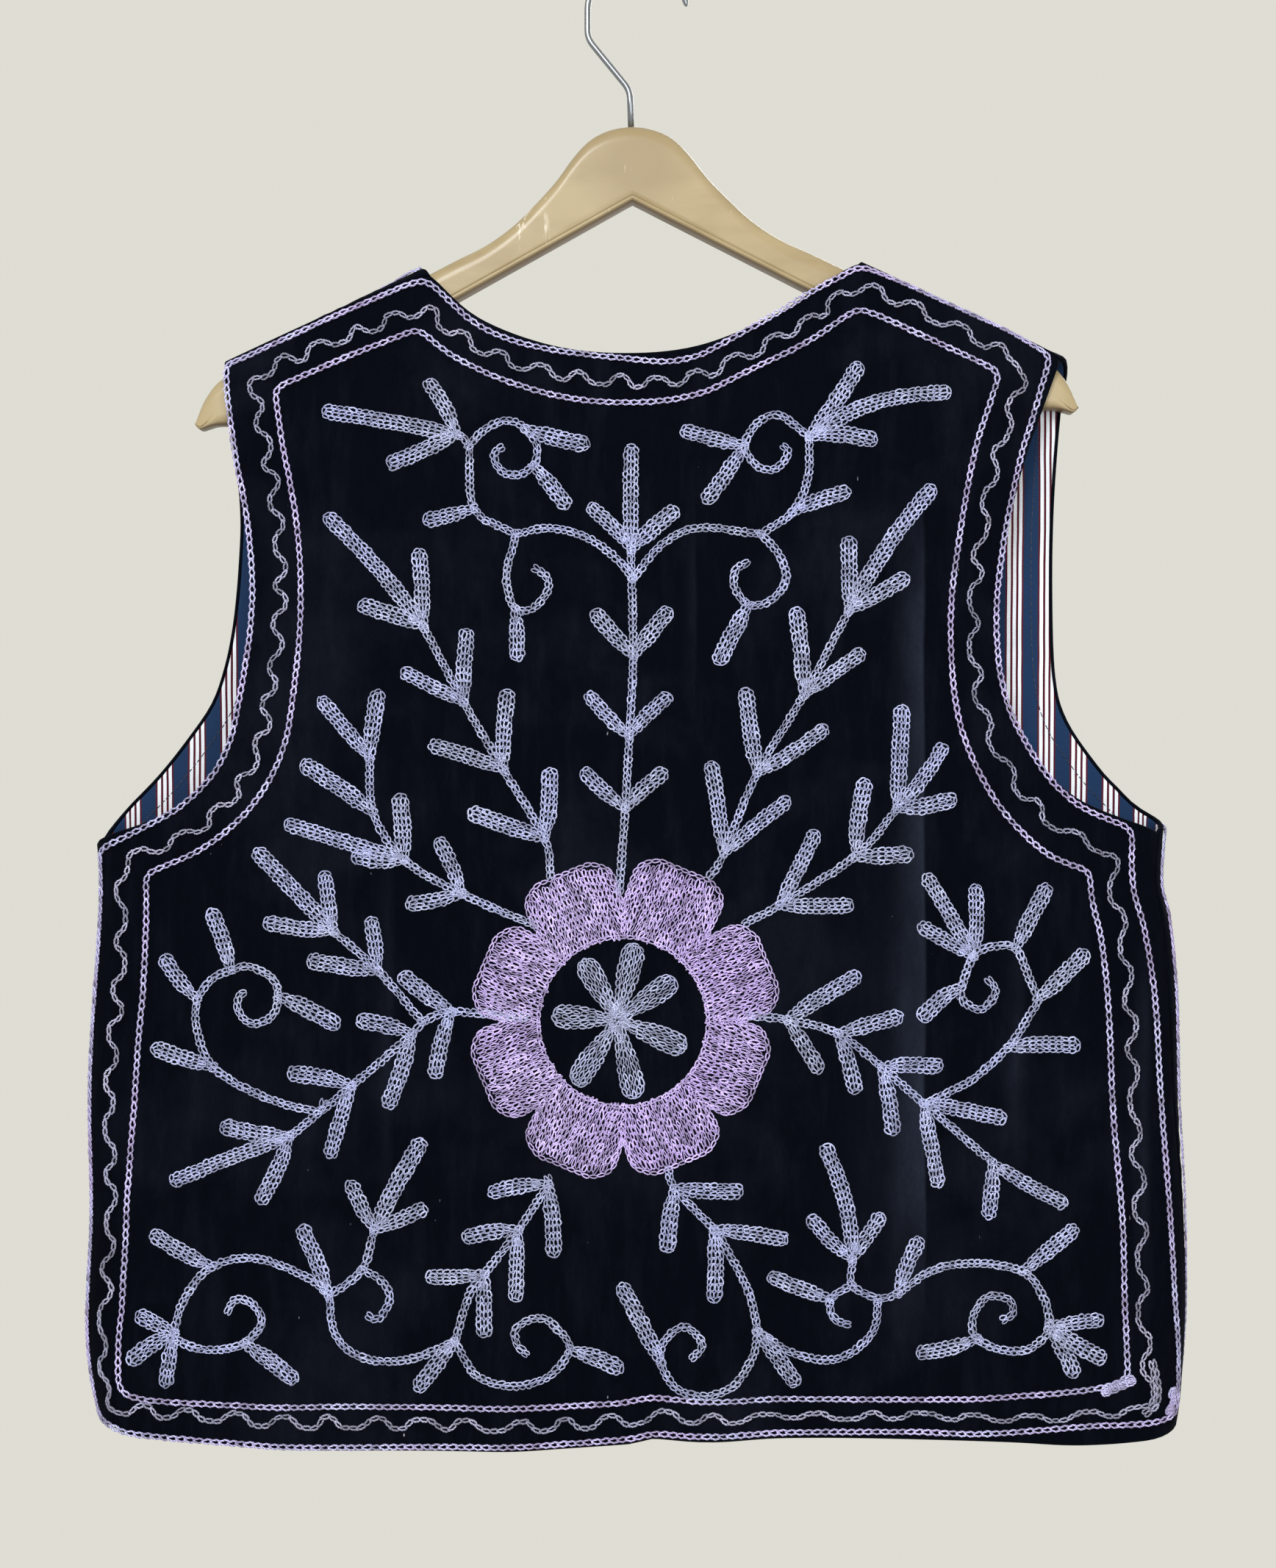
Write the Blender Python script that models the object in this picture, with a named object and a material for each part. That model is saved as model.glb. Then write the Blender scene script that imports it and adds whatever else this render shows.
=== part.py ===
"""Embroidered folk vest of bagged-out velvet, hanging flat on a moulded hanger with a wire hook.

The part is modelled in metres with +Z up.  The origin is the inside top of the hook's bow, where
the hook sits on a rail.  The back of the vest faces -Y, the fronts face +Y, and -X is the
wearer's left.  Each panel of cloth is cut flat in pattern coordinates (across, height) and then
rolled over the shoulders and round the sides, so that its outer face meets its neighbour's at
the seams.  A panel is one wall with a smooth outer and inner face joined by a rim.
"""
from collections import namedtuple
from math import atan2, ceil, cos, hypot, pi, radians, sin, tan

import bmesh
import bpy
from mathutils import Vector
from mathutils.geometry import delaunay_2d_cdt

# ---- driving dimensions, in metres and degrees -------------------------------------------------
VELVET_WALL = 0.0016        # velvet with its interlining
LINING_WALL = 0.0010        # striped lining
PLY_GAP = 0.0003            # between the velvet and the lining
SEAM_GAP = 0.0004           # between two panels where they are sewn
SHOULDER_ROLL = 0.0095      # outer radius of the cloth where it lies over the hanger
SHOULDER_SLOPE = radians(25.2)
SHOULDER_SEAM = 0.1142      # length of a shoulder seam from the neck to the armhole
ARMPIT_LEFT = -0.4530       # height of the top of each side seam
ARMPIT_RIGHT = -0.4460
HEM_SIDE_LEFT = -0.7450     # height of the bottom of each side seam
HEM_SIDE_RIGHT = -0.7490
MIDDLE = 0.003              # across, the line between the left and the right half

ROW_PITCH = 0.026           # spacing of the mesh of a panel, along its height
LOWEST_ROW = -0.738         # height of the first of these rows
ROW_COUNT = 23
COLUMN_PITCH = 0.029        # spacing of the mesh across a panel
COLUMN_COUNT = 9            # columns on each side of the middle
EDGE_PITCH = 0.017          # spacing along its curved edges
HEM_PITCH = 0.024           # along the back's hem
OPENING_PITCH = 0.020       # along the front edge of a front
SEAM_PITCH = 0.012          # and along the shoulder seams
SEAM_END_CLEAR = 0.006      # no row meets a side seam nearer than this to its ends
EDGE_CLEAR = 0.010          # no mesh point lies nearer to an edge in the flat
ROLL_EDGE_CLEAR = 0.0028    # or on a roll
ROLL_CLEAR = 0.009          # and none in the flat lies nearer to a roll
ROLL_STEP = radians(24)     # largest turn of one facet of a roll
ROLL_STEPS = 7
SHOULDER_PITCH = 0.019      # spacing of the mesh points along a shoulder roll
SHOULDER_COUNT = 8
SLOPE_STEP = 0.0005         # half of the step over which the cloth's slope is measured

# Height, and half of the cloth's depth there, which is also the radius of the side rolls.
HALF_DEPTH = (
    (-0.140, 0.0095),
    (-0.250, 0.0095),
    (-0.330, 0.0115),
    (-0.450, 0.0145),
    (-0.600, 0.0165),
    (-0.700, 0.0185),
    (-0.765, 0.0200),
)
# Height, and the distance across to the outermost line of the side roll.
SIDE_LINE_LEFT = (
    (-0.440, 0.2758), (-0.481, 0.2745), (-0.546, 0.2786), (-0.584, 0.2800), (-0.640, 0.2788),
    (-0.696, 0.2808), (-0.720, 0.2790), (-0.738, 0.2755), (-0.760, 0.2700),
)
SIDE_LINE_RIGHT = (
    (-0.440, 0.2738), (-0.472, 0.2722), (-0.490, 0.2762), (-0.528, 0.2800), (-0.584, 0.2808),
    (-0.640, 0.2836), (-0.696, 0.2842), (-0.730, 0.2822), (-0.746, 0.2804), (-0.760, 0.2770),
)
# Height, and how far round the side roll the seam lies, in degrees from the back of the vest.
SIDE_SEAM_LEFT = (
    (-0.440, 97.0),
    (-0.760, 97.0),
)
SIDE_SEAM_RIGHT = (
    (-0.440, 43.0),
    (-0.528, 35.0),
    (-0.602, 51.0),
    (-0.669, 66.0),
    (-0.760, 86.0),
)
# Distance along the shoulder seam, and how far over the shoulder roll it lies, in degrees.
SHOULDER_SEAM_LEFT = (
    (0.000, 18.0), (0.020, 36.0), (0.040, 42.0), (0.060, 47.0), (0.080, 52.0), (0.1142, 54.0),
)
SHOULDER_SEAM_RIGHT = (
    (0.000, 50.0), (0.020, 66.0), (0.038, 98.0), (0.060, 118.0), (0.084, 100.0), (0.098, 62.0),
    (0.1142, 38.0),
)

# Edges of the back, each as (across, height) from the shoulder seam to the armpit.
BACK_ARMHOLE_LEFT = (
    (-0.2072, -0.2230), (-0.2034, -0.2530), (-0.1999, -0.2712), (-0.1966, -0.2940),
    (-0.1951, -0.3200), (-0.1962, -0.3439), (-0.1990, -0.3640), (-0.2020, -0.3820),
    (-0.2060, -0.4000), (-0.2150, -0.4170), (-0.2300, -0.4315), (-0.2460, -0.4405),
)
BACK_ARMHOLE_RIGHT = (
    (0.2087, -0.2335), (0.2014, -0.2541), (0.1953, -0.2766), (0.1902, -0.2990),
    (0.1870, -0.3214), (0.1861, -0.3439), (0.1880, -0.3663), (0.1946, -0.3888),
    (0.2080, -0.4113), (0.2215, -0.4251), (0.2370, -0.4341),
)
BACK_NECKLINE = (
    (0.0970, -0.1664), (0.0709, -0.1827), (0.0336, -0.1974), (-0.0037, -0.2012),
    (-0.0410, -0.1973), (-0.0784, -0.1832),
)
# The hem of the back, as (across, height), from the left side seam to the right.
BACK_HEM = (
    (-0.2640, -0.7478), (-0.2552, -0.7508), (-0.2265, -0.7542), (-0.1836, -0.7584),
    (-0.1157, -0.7588), (-0.0586, -0.7586), (-0.0015, -0.7556), (0.0101, -0.7530),
    (0.0414, -0.7549), (0.1030, -0.7526), (0.1948, -0.7546), (0.2340, -0.7558),
    (0.2600, -0.7540),
)
# Edges of the fronts, each as (across, height) from the shoulder seam to the armpit.
FRONT_ARMHOLE_LEFT = (
    (-0.2100, -0.2150), (-0.2069, -0.2496), (-0.2046, -0.2682), (-0.2037, -0.2867),
    (-0.2046, -0.3053), (-0.2061, -0.3238), (-0.2085, -0.3424), (-0.2125, -0.3609),
    (-0.2192, -0.3795), (-0.2319, -0.3981), (-0.2469, -0.4168), (-0.2640, -0.4345),
)
FRONT_ARMHOLE_RIGHT = (
    (0.2262, -0.2080), (0.2227, -0.2280), (0.2193, -0.2737), (0.2186, -0.3195),
    (0.2204, -0.3654), (0.2267, -0.3884), (0.2424, -0.4114), (0.2529, -0.4229),
    (0.2660, -0.4344),
)
# A front from the neck end of its shoulder seam down to the hem, and along the hem to its side
# seam.  Across is measured from the middle line, outwards.
FRONT_EDGE = (
    (0.1035, -0.1760),
    (0.0940, -0.2130),
    (0.0730, -0.2630),
    (0.0420, -0.3130),
    (0.0130, -0.3480),
    (0.0065, -0.3740),
    (0.0065, -0.4700),
    (0.0085, -0.6000),
    (0.0140, -0.7300),
    (0.0180, -0.7500),
    (0.0300, -0.7570),
    (0.1150, -0.7580),
    (0.1850, -0.7575),
    (0.2400, -0.7545),
)

# The largest folds.  Each is a soft ridge along its height; a trough has a negative rise.
Fold = namedtuple("Fold", "across top bottom reach rise")
BACK_FOLDS = (
    Fold(0.147, -0.215, -0.690, 0.014, 0.0026),
    Fold(0.172, -0.300, -0.600, 0.018, -0.0014),
    Fold(0.030, -0.270, -0.390, 0.020, 0.0012),
    Fold(-0.130, -0.440, -0.620, 0.020, 0.0018),
    Fold(-0.200, -0.580, -0.820, 0.026, -0.0026),
    Fold(-0.060, -0.620, -0.820, 0.030, 0.0026),
    Fold(0.070, -0.630, -0.820, 0.026, -0.0024),
    Fold(0.215, -0.600, -0.820, 0.024, 0.0024),
)
FRONT_FOLDS = (
    Fold(-0.150, -0.260, -0.700, 0.018, 0.0024),
    Fold(-0.085, -0.500, -0.820, 0.026, -0.0034),
    Fold(-0.018, -0.360, -0.820, 0.018, 0.0030),
    Fold(0.024, -0.560, -0.820, 0.018, -0.0030),
    Fold(0.085, -0.300, -0.560, 0.020, 0.0020),
    Fold(0.120, -0.580, -0.820, 0.028, 0.0036),
    Fold(0.195, -0.540, -0.820, 0.022, -0.0026),
)
FOLD_FADE = 0.060           # length over which a fold dies away at each end
SIDE_FADE = 0.030           # and its distance from a side roll or a shoulder

# ---- hanger ------------------------------------------------------------------------------------
HANGER_TOP = Vector((-0.0006, 0.0, -0.0832))
HANGER_TILT = radians(1.1)  # its left end hangs lower
HANGER_HALF_SPAN = 0.2268
HANGER_HALF_THICKNESS = 0.0060
HANGER_UNDER_DROP = 0.0390  # from the top of the hump to the inner corner of the arms
HANGER_UNDER_SLOPE = radians(28.15)
HANGER_EDGE_BEVEL = 0.0012
HANGER_CROWN = 0.0085       # height over which the top edge rounds off
# Distance from the middle, and the drop of the hanger's upper edge below the top of the hump.
HANGER_UPPER_EDGE = (
    (0.0000, 0.0000), (0.0076, 0.0009), (0.0151, 0.0032), (0.0227, 0.0078), (0.0303, 0.0158),
    (0.0379, 0.0260), (0.0455, 0.0345), (0.0606, 0.0492), (0.0757, 0.0597), (0.0909, 0.0670),
    (0.1218, 0.0824), (0.1624, 0.1018), (0.2030, 0.1208), (0.2111, 0.1248), (0.2160, 0.1285),
    (0.2195, 0.1327), (0.2225, 0.1374), (0.2250, 0.1432), (0.2263, 0.1470), (0.2268, 0.1484),
)
# The same for its underside near a tip, where it leaves the straight line and turns up.
HANGER_UNDER_TIP = (
    (0.2050, 0.1487), (0.2081, 0.1498), (0.2168, 0.1500), (0.2205, 0.1509), (0.2240, 0.1519),
    (0.2258, 0.1510), (0.2268, 0.1495),
)
HANGER_TIP_REACH = 0.022    # length over which a tip thins

WIRE_RADIUS = 0.0016
BOW_REACH_LEFT = 0.0230     # from under its top to the middle of the wire
BOW_REACH_RIGHT = 0.0280
BOW_RISE = 0.0250           # from its widest place to the middle of the wire at its top
BOW_END_ANGLE = radians(6)
WIRE_FOOT_GAP = 0.0003      # between the foot of the wire and the top of the hump
WIRE_LOWER_BEND = Vector((-0.0012, 0.0, -0.0643))
WIRE_UPPER_BEND = Vector((-0.0230, 0.0, -0.0376))
WIRE_BEND = 0.0045          # length of each bend to either side of its corner
WIRE_BEND_STEPS = 4
BOW_STEPS = 20
WIRE_SIDES = 10

Side = namedtuple("Side", "name sign neck line seam shoulder armpit hem")
LEFT = Side("left", -1, Vector((-0.1061, -0.1554)), SIDE_LINE_LEFT, SIDE_SEAM_LEFT,
            SHOULDER_SEAM_LEFT, ARMPIT_LEFT, HEM_SIDE_LEFT)
RIGHT = Side("right", 1, Vector((0.1174, -0.1524)), SIDE_LINE_RIGHT, SIDE_SEAM_RIGHT,
             SHOULDER_SEAM_RIGHT, ARMPIT_RIGHT, HEM_SIDE_RIGHT)
BACK = -1
FRONT = 1


# ---- tables and curves -------------------------------------------------------------------------
def table_value(table, at):
    """Smooth value of a two-column table; the ends hold their last value."""
    rows = sorted((row[0], row[1]) for row in table)
    if at <= rows[0][0]:
        return rows[0][1]
    if at >= rows[-1][0]:
        return rows[-1][1]
    slopes = []
    for i in range(len(rows)):
        low = rows[max(i - 1, 0)]
        high = rows[min(i + 1, len(rows) - 1)]
        slopes.append((high[1] - low[1]) / (high[0] - low[0]))
    k = max(i for i in range(len(rows) - 1) if rows[i][0] <= at)
    span = rows[k + 1][0] - rows[k][0]
    u = (at - rows[k][0]) / span
    return (rows[k][1] * (1 + 2 * u) * (1 - u) ** 2 + slopes[k] * span * u * (1 - u) ** 2
            + rows[k + 1][1] * u * u * (3 - 2 * u) + slopes[k + 1] * span * u * u * (u - 1))


def smooth_step(value):
    """0 below 0, 1 above 1, and an easy rise between them."""
    value = min(max(value, 0.0), 1.0)
    return value * value * (3 - 2 * value)


def smooth_curve(points, pitch):
    """Points about one pitch apart on a smooth curve through the given ones, ends included."""
    points = [Vector(point) for point in points]
    ends = [points[0] * 2 - points[1]] + points + [points[-1] * 2 - points[-2]]
    result = []
    for a, b, c, d in zip(ends, ends[1:], ends[2:], ends[3:]):
        steps = max(1, round((c - b).length / pitch))
        for step in range(steps):
            u = step / steps
            result.append(0.5 * (2 * b + (c - a) * u + (2 * a - 5 * b + 4 * c - d) * u * u
                                 + (3 * b - 3 * c + d - a) * u ** 3))
    return result + [points[-1]]


# ---- the form of the cloth ---------------------------------------------------------------------
def shoulder_axes(side):
    """Directions along a shoulder, down to its tip, and square to it, upwards."""
    along = Vector((side.sign * cos(SHOULDER_SLOPE), -sin(SHOULDER_SLOPE)))
    square = Vector((side.sign * sin(SHOULDER_SLOPE), cos(SHOULDER_SLOPE)))
    return along, square


def flat_limit(side, height):
    """Distance across at which a side roll starts."""
    return table_value(side.line, height) - table_value(HALF_DEPTH, height)


def fold_relief(face, across, height):
    """How far the folds lift the cloth outwards."""
    relief = 0.0
    for fold in BACK_FOLDS if face == BACK else FRONT_FOLDS:
        inside = min(fold.top - height, height - fold.bottom) / FOLD_FADE
        width = (across - fold.across) / fold.reach
        relief += fold.rise * smooth_step(inside) / (1 + width * width) ** 2
    return relief


def cloth_point(face, across, height):
    """Point on the outer face of the cloth, for a place in a panel's pattern."""
    side = LEFT if across < MIDDLE else RIGHT
    along, square = shoulder_axes(side)
    roll_start = side.neck - SHOULDER_ROLL * square
    place = Vector((across, height)) - roll_start
    rise = place.dot(square)
    if rise > 0:
        turn = rise / SHOULDER_ROLL
        spot = roll_start + place.dot(along) * along + SHOULDER_ROLL * sin(turn) * square
        return Vector((spot.x, face * SHOULDER_ROLL * cos(turn), spot.y))
    depth = table_value(HALF_DEPTH, height)
    limit = flat_limit(side, height)
    beyond = side.sign * across - limit
    if beyond > 0:
        turn = beyond / depth
        return Vector((side.sign * (limit + depth * sin(turn)), face * depth * cos(turn), height))
    fade = smooth_step(min(-beyond, -rise) / SIDE_FADE)
    return Vector((across, face * (depth + fade * fold_relief(face, across, height)), height))


def roll_turn(across, height):
    """How far round a roll a pattern point lies, 0 in the flat."""
    side = LEFT if across < MIDDLE else RIGHT
    square = shoulder_axes(side)[1]
    rise = (Vector((across, height)) - side.neck).dot(square) + SHOULDER_ROLL
    if rise > 0:
        return rise / SHOULDER_ROLL
    beyond = side.sign * across - flat_limit(side, height)
    return max(beyond, 0.0) / table_value(HALF_DEPTH, height)


def outward(face, across, height):
    """Unit normal of the cloth's outer face, from its slope over a short step."""
    step = SLOPE_STEP
    over = cloth_point(face, across + step, height) - cloth_point(face, across - step, height)
    up = cloth_point(face, across, height + step) - cloth_point(face, across, height - step)
    return (over.cross(up) * -face).normalized()


# ---- edges of the panels, in the pattern -------------------------------------------------------
def seam_turn(face, lift):
    """Turn from a panel's own flat to the seam, given in degrees from the back."""
    return radians(lift) if face == BACK else pi - radians(lift)


def shoulder_seam(side, face):
    """Pattern points of a shoulder seam from the neck to the armhole."""
    along, square = shoulder_axes(side)
    first = side.shoulder[0][0]
    steps = ceil((SHOULDER_SEAM - first) / SEAM_PITCH)
    points = []
    for step in range(steps + 1):
        distance = first + (SHOULDER_SEAM - first) * step / steps
        turn = seam_turn(face, table_value(side.shoulder, distance))
        rise = SHOULDER_ROLL * turn - SEAM_GAP / 2
        points.append(side.neck + distance * along + (rise - SHOULDER_ROLL) * square)
    return points


def mesh_rows():
    """Heights of the rows of mesh points, from the hem up."""
    return [LOWEST_ROW + ROW_PITCH * row for row in range(ROW_COUNT)]


def side_seam(side, face):
    """Pattern points of a side seam from the armpit to the hem."""
    low = side.hem + SEAM_END_CLEAR
    high = side.armpit - SEAM_END_CLEAR
    heights = [side.armpit]
    heights += [row for row in reversed(mesh_rows()) if low < row < high]
    heights.append(side.hem)
    points = []
    for height in heights:
        turn = seam_turn(face, table_value(side.seam, height))
        reach = flat_limit(side, height) + table_value(HALF_DEPTH, height) * turn - SEAM_GAP / 2
        points.append(Vector((side.sign * reach, height)))
    return points


def joined(*stretches):
    """One closed outline from stretches that share their end points, finer where it rolls."""
    corners = []
    for stretch in stretches:
        corners += stretch[:-1]
    outline = []
    for start, end in zip(corners, corners[1:] + corners[:1]):
        turn = abs(roll_turn(*end) - roll_turn(*start))
        steps = max(1, ceil(turn / ROLL_STEP))
        outline += [start.lerp(end, step / steps) for step in range(steps)]
    return outline


def back_outline():
    """Outline of the back, anticlockwise as its outer face is seen."""
    seams = [shoulder_seam(side, BACK) for side in (LEFT, RIGHT)]
    sides = [side_seam(side, BACK) for side in (LEFT, RIGHT)]
    left_arm = smooth_curve([seams[0][-1], *BACK_ARMHOLE_LEFT, sides[0][0]], EDGE_PITCH)
    right_arm = smooth_curve([seams[1][-1], *BACK_ARMHOLE_RIGHT, sides[1][0]], EDGE_PITCH)
    hem = smooth_curve([sides[0][-1], *BACK_HEM, sides[1][-1]], HEM_PITCH)
    neck = smooth_curve([seams[1][0], *BACK_NECKLINE, seams[0][0]], EDGE_PITCH)
    return joined(seams[0], left_arm, sides[0], hem, sides[1][::-1], right_arm[::-1],
                  seams[1][::-1], neck)


def front_outline(side):
    """Outline of one front, from its neck round by the armhole, side, hem and front edge."""
    seam = shoulder_seam(side, FRONT)
    down = side_seam(side, FRONT)
    table = FRONT_ARMHOLE_LEFT if side is LEFT else FRONT_ARMHOLE_RIGHT
    arm = smooth_curve([seam[-1], *table, down[0]], EDGE_PITCH)
    edge = [Vector((MIDDLE + side.sign * row[0], row[1])) for row in FRONT_EDGE]
    opening = smooth_curve([seam[0], *edge, down[-1]], OPENING_PITCH)
    return joined(seam, arm, down, opening[::-1])


# ---- panels ------------------------------------------------------------------------------------
def inside(outline, point):
    """True where a pattern point lies inside an outline."""
    crossings = 0
    for a, b in zip(outline, outline[1:] + outline[:1]):
        if (a.y > point.y) != (b.y > point.y):
            crossings += point.x < a.x + (point.y - a.y) / (b.y - a.y) * (b.x - a.x)
    return crossings % 2 == 1


def edge_distance(outline, point):
    """Distance from a pattern point to the nearest edge."""
    nearest = 1.0
    for a, b in zip(outline, outline[1:] + outline[:1]):
        line = b - a
        u = min(max((point - a).dot(line) / line.length_squared, 0.0), 1.0)
        nearest = min(nearest, (point - a - u * line).length)
    return nearest


def roll_points():
    """Points on the side rolls, along the rows, and on the shoulder rolls, along the shoulder."""
    points = []
    for side in (LEFT, RIGHT):
        for height in mesh_rows():
            depth = table_value(HALF_DEPTH, height)
            limit = flat_limit(side, height)
            points += [Vector((side.sign * (limit + depth * ROLL_STEP * step), height))
                       for step in range(ROLL_STEPS)]
        along, square = shoulder_axes(side)
        for step in range(ROLL_STEPS):
            rise = SHOULDER_ROLL * (ROLL_STEP * step - 1)
            points += [side.neck + SHOULDER_PITCH * k * along + rise * square
                       for k in range(SHOULDER_COUNT)]
    return points


def flat_points():
    """Points of the flat of a panel, in rows, clear of every roll."""
    points = []
    for height in mesh_rows():
        for column in range(-COLUMN_COUNT, COLUMN_COUNT + 1):
            across = MIDDLE + column * COLUMN_PITCH
            side = LEFT if across < MIDDLE else RIGHT
            square = shoulder_axes(side)[1]
            rise = (Vector((across, height)) - side.neck).dot(square) + SHOULDER_ROLL
            beyond = side.sign * across - flat_limit(side, height)
            if max(beyond, rise) < -ROLL_CLEAR:
                points.append(Vector((across, height)))
    return points


def panel_mesh(name, face, outline, outer, inner):
    """A closed wall between two depths below the cloth's outer face."""
    places = list(outline)
    places += [spot for spot in flat_points()
               if inside(outline, spot) and edge_distance(outline, spot) > EDGE_CLEAR]
    places += [spot for spot in roll_points()
               if inside(outline, spot) and edge_distance(outline, spot) > ROLL_EDGE_CLEAR]
    ring = list(range(len(outline)))
    found = delaunay_2d_cdt(places, [], [ring], 1, 1e-6)
    spots = found[0]
    triangles = found[2]
    work = bmesh.new()
    walls = []
    for depth in (outer, inner):
        walls.append([work.verts.new(cloth_point(face, *spot) - depth * outward(face, *spot))
                      for spot in spots])
    borders = set()
    for triangle in triangles:
        a, b, c = (spots[i] for i in triangle)
        turn = (b - a).cross(c - a)
        corners = list(triangle) if turn * -face > 0 else list(reversed(triangle))
        work.faces.new([walls[0][i] for i in corners])
        work.faces.new([walls[1][i] for i in reversed(corners)])
        for start, end in zip(corners, corners[1:] + corners[:1]):
            if (end, start) in borders:
                borders.remove((end, start))
            else:
                borders.add((start, end))
    for start, end in borders:
        work.faces.new((walls[0][end], walls[0][start], walls[1][start], walls[1][end]))
    bmesh.ops.triangulate(work, faces=[item for item in work.faces if len(item.verts) > 3])
    mesh = bpy.data.meshes.new(name)
    work.to_mesh(mesh)
    work.free()
    return mesh


# ---- hanger ------------------------------------------------------------------------------------
def hanger_section(distance):
    """Ring of (depth, drop) points of the hanger at a distance from its middle."""
    top = table_value(HANGER_UPPER_EDGE, distance)
    tip = max(0.0, distance - HANGER_HALF_SPAN + HANGER_TIP_REACH) / HANGER_TIP_REACH
    if distance < HANGER_UNDER_TIP[0][0]:
        under = HANGER_UNDER_DROP + distance * tan(HANGER_UNDER_SLOPE)
    else:
        under = table_value(HANGER_UNDER_TIP, distance)
    half = HANGER_HALF_THICKNESS * (1 - 0.45 * tip ** 3)
    crown = min(HANGER_CROWN, 0.5 * (under - top))
    bevel = min(HANGER_EDGE_BEVEL, 0.3 * (under - top))
    ring = [(half - bevel, under), (half, under - bevel)]
    ring += [(half * cos(turn * pi / 8), top + crown * (1 - sin(turn * pi / 8)))
             for turn in range(9)]
    ring += [(-half, under - bevel), (bevel - half, under)]
    return ring


def hanger_mesh(name):
    """The hump and both arms, as rings from one tip to the other."""
    distances = [row[0] for row in HANGER_UPPER_EDGE]
    stations = [-distance for distance in reversed(distances[1:])] + distances
    work = bmesh.new()
    rings = []
    for station in stations:
        ring = []
        for depth, drop in hanger_section(abs(station)):
            across = station * cos(HANGER_TILT) + drop * sin(HANGER_TILT)
            fall = -station * sin(HANGER_TILT) + drop * cos(HANGER_TILT)
            ring.append(work.verts.new(HANGER_TOP + Vector((across, depth, -fall))))
        rings.append(ring)
    for one, two in zip(rings, rings[1:]):
        for i in range(len(one)):
            j = (i + 1) % len(one)
            work.faces.new((one[i], one[j], two[j], two[i]))
    work.faces.new(rings[0][::-1])
    work.faces.new(rings[-1])
    bmesh.ops.recalc_face_normals(work, faces=work.faces)
    bmesh.ops.triangulate(work, faces=work.faces)
    mesh = bpy.data.meshes.new(name)
    work.to_mesh(mesh)
    work.free()
    return mesh


def hook_path():
    """Middle of the wire, from its foot on the hump up the shank and round the bow."""
    centre = Vector((0.0, 0.0, WIRE_RADIUS - BOW_RISE))
    foot = HANGER_TOP + Vector((0.0, 0.0, WIRE_FOOT_GAP))
    corners = [foot, WIRE_LOWER_BEND, WIRE_UPPER_BEND, centre + Vector((-BOW_REACH_LEFT, 0.0, 0.0))]
    path = [foot]
    for before, corner, after in zip(corners, corners[1:], corners[2:]):
        back = (before - corner).normalized()
        ahead = (after - corner).normalized()
        for step in range(WIRE_BEND_STEPS + 1):
            u = step / WIRE_BEND_STEPS
            path.append(corner + WIRE_BEND * (back * (1 - u) ** 2 + ahead * u * u))
    for step in range(BOW_STEPS + 1):
        angle = pi + (BOW_END_ANGLE - pi) * step / BOW_STEPS
        reach = BOW_REACH_RIGHT if cos(angle) > 0 else BOW_REACH_LEFT
        path.append(centre + Vector((reach * cos(angle), 0.0, BOW_RISE * sin(angle))))
    return path


def hook_mesh(name):
    """Round wire along the hook's path, with flat ends."""
    path = hook_path()
    work = bmesh.new()
    rings = []
    for i, spot in enumerate(path):
        run = path[min(i + 1, len(path) - 1)] - path[max(i - 1, 0)]
        lean = atan2(run.z, run.x)
        side = Vector((-sin(lean), 0.0, cos(lean)))
        ring = []
        for corner in range(WIRE_SIDES):
            turn = 2 * pi * corner / WIRE_SIDES
            offset = side * cos(turn) + Vector((0.0, sin(turn), 0.0))
            ring.append(work.verts.new(spot + WIRE_RADIUS * offset))
        rings.append(ring)
    for one, two in zip(rings, rings[1:]):
        for i in range(WIRE_SIDES):
            j = (i + 1) % WIRE_SIDES
            work.faces.new((one[i], one[j], two[j], two[i]))
    work.faces.new(rings[0][::-1])
    work.faces.new(rings[-1])
    bmesh.ops.recalc_face_normals(work, faces=work.faces)
    mesh = bpy.data.meshes.new(name)
    work.to_mesh(mesh)
    work.free()
    return mesh


# ---- materials and assembly --------------------------------------------------------------------
def finish(name, colour, roughness, metallic=0.0):
    """A Principled material."""
    material = bpy.data.materials.new(name)
    material.use_nodes = True
    shader = material.node_tree.nodes["Principled BSDF"]
    shader.inputs["Base Color"].default_value = (*colour, 1.0)
    shader.inputs["Roughness"].default_value = roughness
    shader.inputs["Metallic"].default_value = metallic
    return material


def place(mesh, material):
    """Put a finished mesh in the scene under its own name, smooth except at its edges."""
    mesh.materials.append(material)
    mesh.shade_smooth()
    mesh.set_sharp_from_angle(angle=radians(40))
    bpy.context.scene.collection.objects.link(bpy.data.objects.new(mesh.name, mesh))


def clear_scene():
    """Remove what the scene starts with."""
    for item in list(bpy.data.objects):
        bpy.data.objects.remove(item, do_unlink=True)


def build():
    """Make every piece of the vest and its hanger."""
    clear_scene()
    velvet = finish("velvet", (0.006, 0.008, 0.018), 0.9)
    lining = finish("striped_lining", (0.12, 0.14, 0.24), 0.6)
    moulding = finish("moulded_tan", (0.55, 0.42, 0.25), 0.3)
    wire = finish("bright_wire", (0.62, 0.63, 0.65), 0.25, 1.0)
    panels = (
        ("back", BACK, back_outline()),
        ("front_left", FRONT, front_outline(LEFT)),
        ("front_right", FRONT, front_outline(RIGHT)),
    )
    lining_top = VELVET_WALL + PLY_GAP
    for name, face, outline in panels:
        place(panel_mesh(name + "_velvet", face, outline, 0.0, VELVET_WALL), velvet)
        place(panel_mesh(name + "_lining", face, outline, lining_top, lining_top + LINING_WALL),
              lining)
    place(hanger_mesh("hanger_body"), moulding)
    place(hook_mesh("hanger_hook"), wire)


build()
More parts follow.
